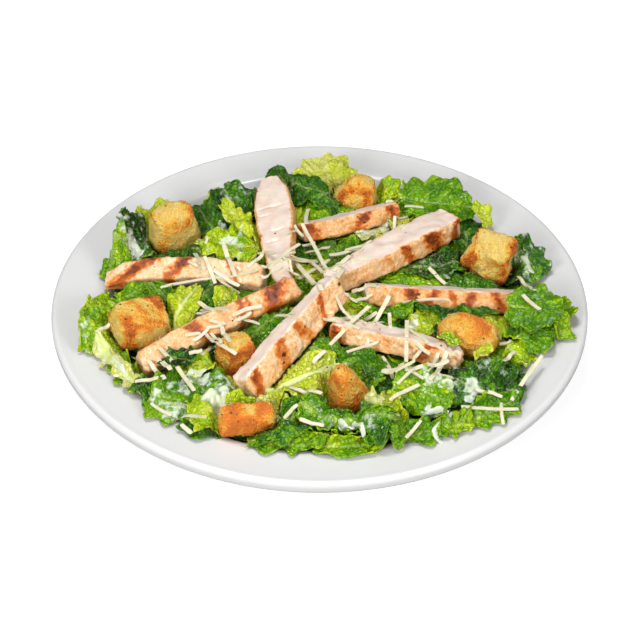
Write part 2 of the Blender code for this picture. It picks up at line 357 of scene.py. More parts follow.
def heightMap(names, fromAbove, empty):
    # the first surface of some nodes that a vertical line meets, for every cell
    heights = np.full((mapSize, mapSize), empty)
    start, way = (90.0, -1.0) if fromAbove else (-5.0, 1.0)
    pick = max if fromAbove else min
    for name in names:
        tree = solidTree(name)
        low, high = nodeBox(name)
        rows = range(*(int(cellOf(0, y)[0]) + pad for y, pad in ((low.y, -1), (high.y, 2))))
        columns = range(*(int(cellOf(x, 0)[1]) + pad for x, pad in ((low.x, -1), (high.x, 2))))
        for row in rows:
            for column in columns:
                spot = Vector((column * cell - mapHalf, row * cell - mapHalf, start))
                hit = tree.ray_cast(spot, Vector((0, 0, way)))[0]
                if hit is not None:
                    heights[row, column] = pick(heights[row, column], hit.z)
    return heights


def spread(heights, pick):
    # widens a map by one cell each way
    wide = heights.copy()
    for axis in (0, 1):
        wide = pick(wide, pick(np.roll(wide, 1, axis), np.roll(wide, -1, axis)))
    return wide


bowlMap = heightMap(["bowl"], True, 0.0)
heapMap = heightMap(["salad_heap"], True, 0.0)
toppingTops = heightMap(toppingNames, True, 0.0)
lid = spread(heightMap(toppingNames, False, 1000.0), np.minimum)
print("height maps made")


# The core under the leaves
coreLook = {
    "depth": 8.5, "edge": 106, "rings": 34, "segments": 120, "clear": 0.4, "lumps": 1.6,
    "outside": 36.0, "evening": 6, "underToppings": 1.5,
}


def blurred(values, times):
    for _ in range(times):
        for axis in (0, 1):
            values = (np.roll(values, 1, axis) + 2 * values + np.roll(values, -1, axis)) / 4
    return values


def coreTop():
    # the heap's own surface, lowered and evened out, and never above the foot of a topping
    look = coreLook
    heap = blurred(np.where(heapMap > 0, heapMap, look["outside"]), look["evening"])
    return np.minimum(heap - look["depth"], lid - look["underToppings"])


coreMap = coreTop()


def makeCore(material):
    # a closed lens: a grid rolled round the bowl's axis, its ends drawn together in the middle
    look = coreLook
    shape = bmesh.new()
    bmesh.ops.create_grid(shape, x_segments=look["segments"], y_segments=2 * look["rings"], size=1)
    wall = solidTree("bowl")
    tone = shape.verts.layers.float.new("tone")
    for vert in shape.verts:
        turn = math.pi * vert.co.x
        side = vert.co.y
        radius = look["edge"] * (1 - abs(side)) ** 0.8
        x, y = radius * math.cos(turn), radius * math.sin(turn)
        floor = wall.ray_cast(Vector((x, y, 90)), Vector((0, 0, -1)))[0].z + look["clear"]
        height = floor
        if side > 0:
            row, column = cellOf(x, y)
            lump = wobble(x / 9, y / 9, 4.1) + 0.5 * wobble(x / 4, y / 4, 9.2)
            height = max(floor + 1.5, coreMap[row, column] + look["lumps"] * lump)
        vert.co = (x, y, height)
        # darker than the leaves that lie on it: painted shade for the gaps between them
        vert[tone] = 0.1 + 0.1 * wobble(x / 12, y / 12, 1.3)
    bmesh.ops.remove_doubles(shape, verts=shape.verts, dist=0.02)
    outwards(shape)
    addPiece("romaine_core", shape, material, ["salad_heap"])


# Romaine
leafColours = {
    "deepest": srgb(8, 40, 0), "deep": srgb(56, 120, 0), "green": srgb(126, 182, 0),
    "fresh": srgb(204, 226, 20), "heart": srgb(234, 238, 88), "palest": srgb(246, 244, 158),
    "rib": srgb(226, 236, 150), "cream": srgb(232, 238, 222),
}


def leafGroup():
    colours = leafColours
    group, gloss, result = newGroup("leafBlade", "Gloss", 0.3)
    place = objectPlace(group)
    cloud = grain(group, place, 90, 3)
    fine = grain(group, place, 700, 3)
    streak = grain(group, place, 260, 2)
    net = stretched(group, cells(group, place, 420, "DISTANCE_TO_EDGE"), 0.0, 0.22)
    tiny = stretched(group, cells(group, place, 760, "DISTANCE_TO_EDGE"), 0.0, 0.25)
    clouded = stretched(group, cloud, 0.25, 0.75, -0.08, 0.08)
    tone = calc(group, "ADD", attribute(group, "tone"), clouded)
    # darker along the cell edges, where the bumps dip: painted shade in the grooves
    tone = plus(group, tone, net, 0.06, 0.65)
    tone = calc(group, "ADD", tone, stretched(group, fine, 0.3, 0.7, -0.04, 0.04))
    blade = ramp(group, tone, (
        (0.0, colours["deepest"]), (0.2, colours["deep"]), (0.42, colours["green"]),
        (0.62, colours["fresh"]), (0.8, colours["heart"]), (1.0, colours["palest"]),
    ))
    pale = attribute(group, "pale")
    ribbed = stretched(group, plus(group, pale, fine, 0.12, 0), 0.1, 1.0)
    colour = mixed(group, ribbed, blade, colours["rib"])
    streaked = stretched(group, streak, 0.3, 0.7, -0.2, 0.2)
    film = calc(group, "ADD", attribute(group, "cream"), streaked)
    cream = stretched(group, film, 0.34, 0.66, 0.0, 0.8)
    plug(group, result["Colour"], mixed(group, cream, colour, colours["cream"]))
    rough = calc(group, "ADD", gloss, stretched(group, cloud, 0.3, 0.7, -0.05, 0.08))
    plug(group, result["Roughness"], plus(group, rough, cream, -0.08, 0))
    bumps = plus(group, calc(group, "MULTIPLY", net, 0.5), tiny, 0.12, 0)
    bumps = plus(group, bumps, fine, 0.05, 0)
    smooth = calc(group, "MAXIMUM", cream, stretched(group, pale, 0.3, 0.8, 0.0, 0.85))
    rugged = calc(group, "SUBTRACT", 1.0, smooth)
    plug(group, result["Height"], calc(group, "MULTIPLY", bumps, rugged))
    return group


def leafMaterial(name, group, gloss, through):
    # through is the share of light that shines through the blade
    material, shader = groupMaterial(name, group, gloss, leafLook["bump"], leafLook["ior"])
    tree = material.node_tree
    glow = tree.nodes.new("ShaderNodeBsdfTranslucent")
    plug(tree, glow.inputs["Color"], shader.inputs["Base Color"].links[0].from_socket)
    both = tree.nodes.new("ShaderNodeMixShader")
    both.inputs[0].default_value = through
    tree.links.new(shader.outputs[0], both.inputs[1])
    tree.links.new(glow.outputs[0], both.inputs[2])
    tree.links.new(both.outputs[0], tree.nodes["Material Output"].inputs["Surface"])
    return material


# What a leaf is like unless its own line says otherwise. tone runs from 0, darkest, to 1. ribAt is
# the rib's place across, from -1 to 1. fold lifts both sides from the rib, curl bends each side
# further, bend lowers the base and the tip, ends are the widths left at base and tip, and round is
# how round each end is. cream is dressing on it, and over lets it lie on the toppings.
leafUsual = {
    "roll": 0, "tone": 0.3, "ribAt": 0.0, "ribWidth": 1.3, "rib": 0.6, "blister": 2.2, "cell": 3.8,
    "fold": 16, "curl": (-34, -34), "bend": (10, 22), "twist": 0, "ruffle": 2.6, "wave": 10,
    "crumple": 3.4, "ends": (0.8, 0.75), "round": (0.25, 0.7), "skew": 0.35, "cream": 0.0,
    "over": False, "step": 0.85,
}
leafLook = {
    "thickness": 0.55, "gap": 1.7, "fillerGap": 0.75, "highest": 60.5, "farthest": 131.5,
    "evening": 5, "bump": 1.3, "ior": 1.5, "toneGain": 1.1, "toneDrop": 0.02,
}
leafTones = {"dark": 0.18, "green": 0.4, "light": 0.66, "heart": 0.84}
# Each kind's roughness, and the share of light that shines through it
leafFinish = {"dark": (0.12, 0.1), "green": (0.12, 0.14), "light": (0.14, 0.2), "heart": (0.17, 0.26)}
pile = np.maximum(bowlMap, np.where(coreMap > bowlMap, coreMap, 0.0))


def bentStretch(distance, start, turn, reach):
    # how far and how high a strip goes when its slope grows from start by turn over its reach
    rate = turn / reach
    if abs(rate) < 1e-5:
        return distance * math.cos(start), distance * math.sin(start), start
    slope = start + rate * distance
    ahead = (math.sin(slope) - math.sin(start)) / rate
    return ahead, (math.cos(start) - math.cos(slope)) / rate, slope


def leafPoint(look, length, width, u, v, seed):
    # one point of a leaf, flat first and then bent, with its tone and paleness
    t = (u + 1) / 2
    soft = look["round"][1] if u > 0 else look["round"][0]
    x = u * (1 - soft + soft * math.sqrt(1 - v * v / 2))
    y = v * (1 - soft + soft * math.sqrt(1 - u * u / 2))
    first, last = look["ends"]
    end = first if t < 0.5 else last
    taper = 1 - (1 - end) * (abs(t - 0.5) / 0.5) ** 2
    x += look["skew"] * y * wobble(seed, 2 if u > 0 else 7) * abs(u) * width / length
    edge = max(abs(u), abs(v))
    frill = 1 + 0.16 * edge ** 3 * (wobble(x * 2.4, y * 2.4, seed) + 0.5 * wobble(x * 7, y * 7, seed))
    x *= length / 2 * frill
    halfWidth = width / 2 * taper
    y *= halfWidth * frill
    ribLine = look["ribAt"] * halfWidth + 1.2 * wobble(x / 25, 0.5, seed)
    away = y - ribLine
    side = abs(away)
    ribHalf = look["ribWidth"] / 2 * (1 - 0.65 * t)
    rib = ease(ribHalf + 0.7, ribHalf - 0.3, side)
    run = x - side * 0.85 - side * side * 0.006
    spot = Vector((run / look["cell"], side / (look["cell"] * 1.25) + (40 if away > 0 else 0), seed))
    nearest = noise.voronoi(spot)[0]
    gap = nearest[1] - nearest[0]
    dome = ease(0, 0.55, gap)
    rung = abs((run / 9.5 + 0.25 * wobble(run / 20, side / 12, seed + 5)) % 1 - 0.5) * 2
    branch = ease(0.86, 1, rung) * ease(1.05, 0.3, side / (width * 0.55))
    vein = max(0.75 * ease(0.13, 0.02, gap), branch)
    calm = (1 - rib) * (0.35 + 0.65 * ease(1.0, 0.8, edge))
    lift = look["blister"] * (dome - 0.5) * calm - 0.45 * branch * calm - look["rib"] * rib
    folds = wobble(x / 15, y / 15, seed + 9) + 0.55 * wobble(x / 7, y / 7, seed + 3)
    lift += look["crumple"] * folds
    rim = max(ease(0.55, 1.05, abs(v)), ease(0.7, 1.1, u) * 0.8)
    phase = x * 2 * math.pi / look["wave"] + 2.5 * wobble(x / 14, y / 30, seed + 2)
    lift += look["ruffle"] * rim * math.sin(phase + (2 if v > 0 else 0))
    left, right = look["curl"]
    curl = math.radians(right if away > 0 else left)
    across, up, slope = bentStretch(side, math.radians(look["fold"]), curl, max(4, width / 2))
    way = 1 if away > 0 else -1
    across = ribLine + way * (across - lift * math.sin(slope))
    up += lift * math.cos(slope)
    back, front = look["bend"]
    drop = math.radians(front if x > 0 else back)
    ahead, down, tilt = bentStretch(abs(x), 0, drop, length / 2)
    ahead = (ahead + up * math.sin(tilt)) * (1 if x > 0 else -1)
    up = up * math.cos(tilt) - down
    turn = math.radians(look["twist"]) * u
    across, up = (across * math.cos(turn) - up * math.sin(turn),
                  across * math.sin(turn) + up * math.cos(turn))
    # lighter on the blister tops and darker in the valleys between them: painted shade in the valleys
    tone = look["tone"] + 0.17 * (dome - 0.6) * min(1, look["blister"])
    tone += 0.08 * wobble(x / 13, y / 13, seed + 7)
    tone += 0.1 * ease(0.5, 0, side / (width * 0.5)) * (1 - t) + 0.16 * ease(0.94, 1, edge)
    pale = max(rib * ease(0.4, 2.4, look["ribWidth"]), 0.4 * branch, 0.2 * vein)
    valley = 1 - dome
    film = 0.85 * look["cream"] * ease(-0.05, 0.2, wobble(x / 9, y / 5, seed + 11) + 0.15 * valley)
    return Vector((ahead, across, up)), tone, pale, film


# Where dressing clouds the leaves: x, y, reach in x and in y, and strength
filmSpots = [
    (-55, -75, 4, 4, 0.9), (-48, -86, 7, 6, 1.0), (-60, -76, 4, 5, 0.5), (-44, -81, 4, 5, 0.5),
    (-47, 27, 5, 3.5, 0.9), (-51, 42, 4, 2, 0.6), (-41, 30, 3, 3.5, 0.5), (45, -39, 3.5, 2, 0.8),
    (106, 16, 2.5, 7, 0.6), (26, 32, 4.5, 3.5, 0.9), (52, -79, 5, 3.5, 0.8), (90, -12, 5, 5, 0.6),
    (98, 0, 4, 4, 0.7), (59, -82, 6, 4, 0.5), (50, -92, 2, 3, 0.7), (70, -82, 4, 6, 0.6),
    (-97, 26, 9, 8, 0.45), (-95, 25, 5, 2.6, 1.1), (-113, -37, 4.5, 8, 0.4), (-49, 60, 4, 3, 0.9),
    (15, -106, 5, 2, 0.5),
]


def filmAt(x, y):
    best = 0.0
    for middleX, middleY, reachX, reachY, strength in filmSpots:
        away = math.hypot((x - middleX) / reachX, (y - middleY) / reachY)
        if away < 1.7:
            away += 0.45 * wobble(x / 2.6, y / 2.6, middleX)
            best = max(best, strength * ease(1.35, 0.5, away))
    return best


def leafFrame(look):
    base, tip = Vector(look["base"]), Vector(look["tip"])
    along = (tip - base).normalized()
    side = Vector((0, 0, 1)).cross(along)
    side = side.normalized() if side.length > 0.05 else Vector((1, 0, 0))
    side = Matrix.Rotation(math.radians(look["roll"]), 3, along) @ side
    return (base + tip) / 2, along, side, along.cross(side), (tip - base).length


def settle(x, y, z, over, cap):
    # lifts a leaf off what lies below it and presses it under what lies on it
    row, column = cellOf(x, y)
    small = leafLook["fillerGap"]
    low = pile[row, column] + (leafLook["gap"] if cap is None else small)
    high = np.full_like(z, leafLook["highest"])
    if over:
        low = np.maximum(low, spread(toppingTops, np.maximum)[row, column] + small)
    else:
        high = np.minimum(high, lid[row, column] - small)
    if cap is not None:
        high = np.minimum(high, np.maximum(cap[row, column], low))
    low = np.minimum(low, high)
    shift = np.clip(z, low, high) - z
    for _ in range(leafLook["evening"]):
        for axis in (0, 1):
            padded = np.pad(shift, [(1, 1) if a == axis else (0, 0) for a in (0, 1)], mode="edge")
            before = padded[:-2] if axis == 0 else padded[:, :-2]
            after = padded[2:] if axis == 0 else padded[:, 2:]
            shift = (before + 2 * shift + after) / 4
        shift = np.clip(z + shift, low, high) - z
    z = z + shift
    np.maximum.at(pile, (row, column), z + leafLook["thickness"] / 2)
    return z


def addLeaf(shapes, kind, plan, seed, cap=None):
    look = {**leafUsual, **plan}
    middle, along, side, up, length = leafFrame(look)
    width = look["width"]
    shape = shapes[kind]
    columns = max(6, round(length / look["step"]))
    rows = max(5, round(width / look["step"]))
    made = bmesh.ops.create_grid(shape, x_segments=columns, y_segments=rows, size=1)["verts"]
    layers = [shape.verts.layers.float[name] for name in ("tone", "pale", "cream")]
    places = np.zeros((len(made), 3))
    for index, vert in enumerate(made):
        point, *marks = leafPoint(look, length, width, vert.co.x, vert.co.y, seed)
        places[index] = middle + along * point.x + side * point.y + up * point.z
        for layer, mark in zip(layers, marks):
            vert[layer] = mark
    x, y, z = (places[:, axis].reshape(rows + 1, columns + 1) for axis in range(3))
    reach = np.hypot(x, y)
    inward = np.minimum(1, leafLook["farthest"] / np.maximum(reach, 1))
    x, y = x * inward, y * inward
    z = settle(x, y, z, look["over"], cap)
    for vert, px, py, pz in zip(made, x.ravel(), y.ravel(), z.ravel()):
        vert.co = (px, py, pz)
        vert[layers[2]] = max(vert[layers[2]], filmAt(px, py))


fillerLook = {
    "seed": 11, "layers": 3, "perLayer": 30, "reach": 84, "length": (30, 46), "width": (22, 34),
    "kinds": ("dark", "dark", "dark", "green", "green", "light"), "below": 5.0, "outside": 34.0,
    "ring": 22, "ringReach": (84, 90), "ringBelow": 2.0, "ringOutside": 31.0,
    "ringRise": (18, 34),
}


def fillBowl(shapes):
    # leaves that only show in the gaps between the placed ones
    look = fillerLook
    chance = random.Random(look["seed"])
    cap = np.where(heapMap > 0, heapMap - look["below"], look["outside"])
    for layer in range(look["layers"]):
        for index in range(look["perLayer"]):
            angle = 2 * math.pi * (index * 0.618 + layer * 0.21)
            radius = look["reach"] * math.sqrt((index + 0.5) / look["perLayer"])
            x, y = radius * math.cos(angle), radius * math.sin(angle)
            row, column = cellOf(x, y)
            length = chance.uniform(*look["length"])
            heading = chance.uniform(0, 2 * math.pi)
            rise = chance.uniform(-5, 5)
            level = min(cap[row, column], pile[row, column] + chance.uniform(0, 4))
            reach = Vector((math.cos(heading), math.sin(heading), 0)) * length / 2
            middle = Vector((x, y, level))
            kind = chance.choice(look["kinds"])
            addLeaf(shapes, kind, {
                "base": middle - reach - Vector((0, 0, rise)),
                "tip": middle + reach + Vector((0, 0, rise)),
                "width": chance.uniform(*look["width"]), "roll": chance.uniform(-15, 15),
                "tone": leafTones[kind] + chance.uniform(-0.05, 0.08), "step": 2.0,
                "ribAt": chance.uniform(-1.1, 1.1), "blister": 1.2,
            }, chance.uniform(0, 90), cap)
    foot, top = look["ringRise"]
    edgeCap = np.where(heapMap > 0, heapMap - look["ringBelow"], look["ringOutside"])
    for index in range(look["ring"]):
        angle = 2 * math.pi * index / look["ring"]
        lean = angle + chance.uniform(-0.5, 0.5)
        middle = Vector((math.cos(angle), math.sin(angle), 0)) * chance.uniform(*look["ringReach"])
        reach = Vector((math.cos(lean), math.sin(lean), 0)) * chance.uniform(13, 17)
        kind = chance.choice(look["kinds"])
        addLeaf(shapes, kind, {
            "base": middle + reach + Vector((0, 0, foot)),
            "tip": middle - reach + Vector((0, 0, top)),
            "width": chance.uniform(*look["width"]), "tone": leafTones[kind] + chance.uniform(0, 0.1),
            "step": 1.6, "ribAt": chance.uniform(-0.9, 0.9),
        }, chance.uniform(0, 90), edgeCap)


# Each leaf's kind, base, tip and width, and what differs from leafUsual
leafPlan = [
    ("light", (-83, 49, 38), (-83, 58, 50), 14, {"blister": 1.0}),
    ("light", (-91, 37, 40), (-94, 53, 47), 10, {"blister": 0.6}),
    ("dark", (-97, 18, 34), (-99, 46, 47), 27, {"cream": 0.45, "blister": 1.6, "curl": (25, 30),
        "ribAt": -0.9}),
    ("green", (-98, 22, 35), (-113, 14, 33), 13, {"blister": 0.6}),
    ("dark", (-33, 52, 40), (-35, 74, 47), 20, {}),
    ("dark", (-42, 47, 40), (-51, 71, 50), 26, {"cream": 0.45, "blister": 1.5}),
    ("dark", (-50, 38, 37), (-62, 59, 45), 25, {"blister": 1.0, "ribAt": 0.2}),
    ("dark", (-14, 72, 40), (-25, 88, 47), 20, {"ruffle": 2.2}),
    ("heart", (8, 62, 40), (0, 97, 52), 36, {"blister": 2.6, "cell": 6.5, "crumple": 3.4,
        "ruffle": 2, "ends": (0.8, 0.85), "tone": 0.8}),
    ("dark", (11, 56, 41), (-22, 74, 42), 18, {"roll": -30, "ruffle": 2.6, "wave": 9}),
    ("green", (38, 66, 41), (33, 79, 48), 16, {"fold": 25, "tone": 0.5}),
    ("green", (42, 63, 42), (82, 58, 46), 34, {"roll": 28, "tone": 0.36, "blister": 1.7,
        "ruffle": 2.2}),
    ("light", (91, 49, 38), (82, 60, 45), 10, {"tone": 0.66, "blister": 0.6}),
    ("dark", (111, 7, 34), (101, 29, 46), 25, {"tone": 0.22, "blister": 1.6, "cream": 0.42}),
    ("green", (-30, 19, 41), (-63, 29, 42), 27, {"roll": -28, "tone": 0.55, "blister": 1.8,
        "cream": 0.4}),
    ("light", (-31, 28, 46), (-51, 56, 47), 13, {"tone": 0.66, "blister": 2.2, "cell": 4.5,
        "ruffle": 2, "wave": 7}),
    ("green", (3, 7, 41), (27, 27, 44), 18, {"tone": 0.3, "blister": 1.7}),
    ("heart", (20, 27, 43), (36, 40, 45), 12, {"tone": 0.86, "cream": 0.7, "blister": 0.5}),
    ("heart", (38, 35, 43), (45, 46, 47), 9, {"tone": 0.74}),
    ("dark", (76, 17, 37), (76, 41, 45), 13, {"blister": 1.5}),
    ("dark", (42, 4, 39), (74, 13, 42), 23, {"roll": 22, "cream": 0.36, "blister": 1.9,
        "cell": 4.8}),
    ("green", (-101, -13, 37), (-84, -6, 39), 14, {"roll": 15, "tone": 0.33, "blister": 1.8}),
    ("green", (-85, -6, 40), (-69, -24, 39), 13, {"tone": 0.28, "blister": 0.5, "curl": (35, 35)}),
    ("dark", (-59, -24, 40), (-53, -7, 43), 18, {"blister": 1.5}),
    ("light", (-50, -25, 41), (-42, -11, 45), 10, {"tone": 0.62}),
    ("light", (-106, -47, 33), (-105, -13, 42), 26, {"tone": 0.5, "cream": 0.35, "curl": (30, 5),
        "ribAt": -0.5}),
    ("green", (-98, -49, 35), (-85, -76, 34), 14, {"roll": 30, "tone": 0.45}),
    ("heart", (-108, -44, 33.5), (-84, -79, 33), 9, {"roll": 35, "tone": 0.86, "cream": 0.5,
        "blister": 0.5, "ribWidth": 5}),
    ("heart", (-81, -52, 40), (-60, -10, 46), 17, {"tone": 0.66, "blister": 2.2, "cell": 4.5,
        "ruffle": 2.6, "wave": 8, "ribWidth": 2}),
    ("dark", (-85, -72, 33), (-73, -85, 33), 12, {"roll": 30}),
    ("light", (-79, -81, 36), (-59, -85, 36), 28, {"roll": 22, "tone": 0.36, "cream": 0.6,
        "blister": 0.5, "round": (0.1, 0.1)}),
    ("green", (-61, -76, 39), (-41, -87, 38), 23, {"roll": 22, "tone": 0.28, "cream": 0.55,
        "blister": 0.8}),
    ("dark", (-61, -94, 35), (-47, -103, 33), 16, {"roll": 30}),
    ("light", (-59, -99, 37), (-43, -88, 40), 19, {"roll": 15, "tone": 0.58, "blister": 1.8,
        "cell": 4.5, "ruffle": 2.6, "wave": 8}),
    ("light", (-44, -92, 40), (-24, -86, 42), 13, {"roll": 20, "tone": 0.58, "blister": 1.6,
        "cell": 4.5, "ruffle": 2.4, "wave": 8}),
    ("green", (-43, -53, 38), (-14, -28, 43), 22, {"roll": 12, "tone": 0.27, "blister": 0.5,
        "crumple": 1.2}),
    ("dark", (-10, -67, 38), (1, -44, 42), 22, {"blister": 1.4}),
    ("green", (-9, -51, 40), (31, -74, 42), 24, {"roll": 15, "tone": 0.3, "blister": 1.6,
        "ribAt": -0.4}),
    ("heart", (-29, -87, 39), (-12, -99, 40), 15, {"roll": 25, "tone": 0.84, "blister": 1.2}),
    ("heart", (-26, -85, 41), (10, -67, 44), 22, {"roll": 15, "tone": 0.7, "blister": 1.8,
        "ribWidth": 4, "cream": 0.3}),
    ("dark", (47, -22, 38), (88, -26, 36), 16, {"roll": 25}),
    ("green", (15, -18, 41), (47, -28, 40), 18, {"roll": 30, "tone": 0.38, "blister": 1.4,
        "curl": (30, 40)}),
    ("light", (54, -43, 40), (42, -37, 44), 13, {"roll": -20, "tone": 0.6, "fold": 30,
        "cream": 0.4}),
    ("dark", (88, -76, 33), (92, -60, 37), 13, {}),
    ("green", (90, -48, 38), (103, -55, 33), 15, {"roll": 25, "tone": 0.5, "blister": 0.8}),
    ("green", (94, -46, 36), (112, -32, 41), 24, {"roll": 15, "tone": 0.36, "blister": 2,
        "cell": 4.8, "ruffle": 2.2}),
    ("light", (111, -26, 40), (127, -13, 38), 17, {"tone": 0.4, "blister": 1.2}),
    ("light", (111, -27, 37), (124, -40, 33.5), 11, {"roll": 25, "tone": 0.5, "blister": 0.6}),
    ("green", (92, -23, 44), (118, -32, 42), 27, {"roll": 25, "tone": 0.36, "blister": 2,
        "cell": 4.8, "ruffle": 2.4, "over": True, "cream": 0.3}),
    ("dark", (86, -86, 34), (80, -62, 43), 25, {"cream": 0.45, "blister": 1.9, "ribAt": 0.6}),
    ("dark", (77, -85, 39), (58, -74, 43), 22, {"roll": -28, "cream": 0.4, "blister": 1.7}),
    ("light", (76, -63, 41), (79, -54, 43), 8, {"tone": 0.62, "over": True, "blister": 0.6}),
    ("light", (57, -50, 42), (67, -56, 40), 7, {"roll": 25, "tone": 0.5, "over": True}),
    ("green", (68, -97, 33), (93, -83, 34), 16, {"roll": 35, "tone": 0.36}),
    ("light", (58, -103, 33), (69, -93, 37), 11, {"roll": 35, "tone": 0.46}),
    ("dark", (41, -100, 31), (56, -85, 34), 21, {"roll": 15, "tone": 0.04}),
    ("heart", (40, -106, 34), (29, -95, 41), 17, {"tone": 0.6, "blister": 0.5}),
    ("green", (34, -81, 44), (61, -90, 40), 25, {"roll": 25, "tone": 0.4, "blister": 1.9,
        "cell": 4.8, "cream": 0.4}),
    ("light", (33, -98, 40), (30, -87, 44), 12, {"tone": 0.62, "blister": 0.6}),
    ("heart", (26, -104, 40), (23, -87, 49), 9, {"tone": 0.99, "blister": 1.4, "cell": 4,
        "ribWidth": 4}),
    ("green", (27, -109, 32.5), (59, -102, 33), 15, {"roll": 45, "tone": 0.36, "ruffle": 2.8,
        "wave": 12, "crumple": 3}),
    ("light", (-3, -112, 32.5), (33, -111, 32.5), 13, {"roll": 48, "tone": 0.46, "ruffle": 3,
        "wave": 15, "crumple": 3, "curl": (34, 6)}),
    ("green", (-33, -107, 33), (4, -113, 32.5), 16, {"roll": 50, "tone": 0.4, "ruffle": 2.8,
        "wave": 13, "crumple": 3}),
    ("green", (5, -103, 34), (38, -109, 32.5), 16, {"roll": 40, "tone": 0.34, "ruffle": 2.6,
        "crumple": 3}),
    ("dark", (-29, -106, 35), (10, -93, 37), 22, {"roll": 25, "tone": 0.24, "blister": 1.9,
        "cell": 4.4, "ruffle": 2.4, "wave": 14, "crumple": 3.2}),
    ("green", (-9, -96, 38), (35, -111, 33), 17, {"roll": 32, "tone": 0.3, "blister": 2,
        "cell": 4.4, "ruffle": 2.8, "wave": 13, "crumple": 3.4, "cream": 0.42}),
    ("light", (-65, -74, 42), (-45, -61, 46), 15, {"roll": 20, "tone": 0.6, "blister": 1}),
    ("dark", (-74, -61, 43), (-59, -69, 44), 14, {"roll": 20, "over": True, "tone": 0.1}),
]


def makeLeaves():
    shapes = {}
    for kind in leafTones:
        shapes[kind] = bmesh.new()
        for name in ("tone", "pale", "cream"):
            shapes[kind].verts.layers.float.new(name)
    fillBowl(shapes)
    for index, (kind, base, tip, width, changes) in enumerate(leafPlan):
        plan = {"cell": 3.5 + 2.4 * (0.618 * index % 1), "tone": leafTones[kind], **changes}
        plan["tone"] = plan["tone"] * leafLook["toneGain"] - leafLook["toneDrop"]
        addLeaf(shapes, kind, {**plan, "base": base, "tip": tip, "width": width}, 3.7 * index + 0.4)
    group = leafGroup()
    materials = {}
    for kind, finish in leafFinish.items():
        materials[kind] = leafMaterial(f"romaine_{kind}", group, *finish)
    makeCore(materials["dark"])
    for kind, shape in shapes.items():
        piece = addPiece(f"romaine_{kind}", shape, materials[kind], ["salad_heap"])
        wall = piece.modifiers.new("thickness", "SOLIDIFY")
        wall.thickness = leafLook["thickness"] * mm
        wall.offset = 0
        print(kind, "leaves", 4 * len(piece.data.polygons), "triangles")


makeLeaves()
print("leaves made")


# Chicken
#
# Per slice: lean turns the cut face back from level. marks are the grill's bars on the front skin:
# share of the length from the outer end, width, slant and strength. chars are black specks, as
# (share, place across from -1 to 1, size). ends are how browned the outer and the inner end are,
# torn is how ragged they are, and tan darkens the skin. cracks are splits across the slice, as
# (share, place from -1 at its back to 1 at its skin, reach).
meatLook = {
    "around": 76, "along": 104, "capRings": 8, "squareness": 7.5, "endRound": 1.8, "stations": 8,
    "skinRelief": 0.5, "cutRelief": 0.2, "markDepth": 0.35, "lumps": 0.8, "highest": 62.3,
    "evening": 30, "bump": 0.5, "ior": 1.42, "lightIn": (0.12, (1.0, 0.5, 0.3), 2),
}
slicePlan = {
    "chicken_left": {
        "lean": 68, "marks": ((0.19, 17, 9, 1.0), (0.47, 10, 4, 0.95), (0.8, 4, -3, 0.7)),
        "chars": ((0.5, 0.2, 1.0), (0.83, 0.3, 0.7)), "ends": (0.5, 0.1), "torn": (0.6, 0.8),
        "tan": 0.2,
    },
    "chicken_back": {
        "lean": -14, "marks": ((0.62, 8, 2, 0.6), (0.2, 6, 0, 0.5)), "chars": (),
        "ends": (0.75, 0.1), "torn": (0.8, 0.6), "tan": 0.5,
        "cracks": ((0.35, 0.1, 0.8), (0.43, 0.5, 0.4), (0.6, -0.1, 0.5), (0.7, 0.3, 0.5)),
    },
    "chicken_back_right": {
        "lean": 28, "marks": ((0.08, 9, 1, 0.9), (0.42, 10, -4, 0.95), (0.92, 10, 2, 0.8)),
        "chars": ((0.4, -0.1, 1.4), (0.44, 0.4, 0.8), (0.7, -0.4, 0.6)), "ends": (0.8, 0.6),
        "torn": (0.8, 0.8), "tan": 0.5,
    },
    "chicken_long_right": {
        "lean": 6, "marks": ((0.06, 7, -2, 0.8), (0.25, 15, 3, 1.0), (0.46, 8, 3, 0.8),
                             (0.6, 5, 2, 0.35)),
        "chars": ((0.27, -0.5, 1.0), (0.22, 0.3, 0.8)), "ends": (0.45, 0.1), "torn": (1.4, 1.2),
        "tan": 0.35,
    },
    "chicken_right": {
        "lean": 30, "marks": ((0.2, 7, 3, 0.75), (0.38, 8, -3, 0.85), (0.47, 5, 3, 0.7),
                              (0.62, 7, -4, 0.9), (0.72, 8, 2, 0.95)),
        "chars": ((0.69, 0.4, 1.6), (0.7, 0.1, 0.9), (0.2, -0.5, 0.8)), "ends": (0.4, 0.35),
        "torn": (0.9, 0.8), "tan": 0.5,
    },
    "chicken_low_right": {
        "lean": 20, "marks": ((0.28, 9, -3, 0.75), (0.55, 5, 2, 0.3), (0.94, 8, 2, 1.0)),
        "chars": ((0.3, 0.2, 0.8),), "ends": (0.75, 0.6), "torn": (2.2, 1.0), "tan": 0.3,
        "cracks": ((0.07, 0.0, 0.8), (0.12, 0.3, 0.6)),
    },
    "chicken_front": {
        "lean": 30, "marks": ((0.07, 7, 2, 0.8), (0.33, 9, 3, 0.6), (0.55, 8, -3, 0.6),
                              (0.76, 6, 3, 0.75)),
        "chars": ((0.33, 0.0, 1.6), (0.3, -0.4, 1.0), (0.57, 0.2, 0.8), (0.97, 0.4, 1.6),
                  (0.99, -0.1, 1.4)),
        "ends": (0.7, 0.6), "torn": (0.7, 1.0), "tan": 0.3,
    },
    "chicken_low_left": {
        "lean": 60, "marks": ((0.36, 9, -3, 0.85), (0.63, 5, 2, 0.8), (0.68, 4, 1, 0.7),
                              (0.84, 16, 4, 1.0)),
        "chars": ((0.84, -0.2, 1.6), (0.87, 0.4, 1.0), (0.36, -0.5, 1.3), (0.1, -0.6, 1.2)),
        "ends": (0.6, 0.2), "torn": (0.8, 0.8), "tan": 0.4,
        "cracks": ((0.06, 0.2, 0.5), (0.1, 0.0, 0.9), (0.14, -0.1, 0.8)),
    },
}


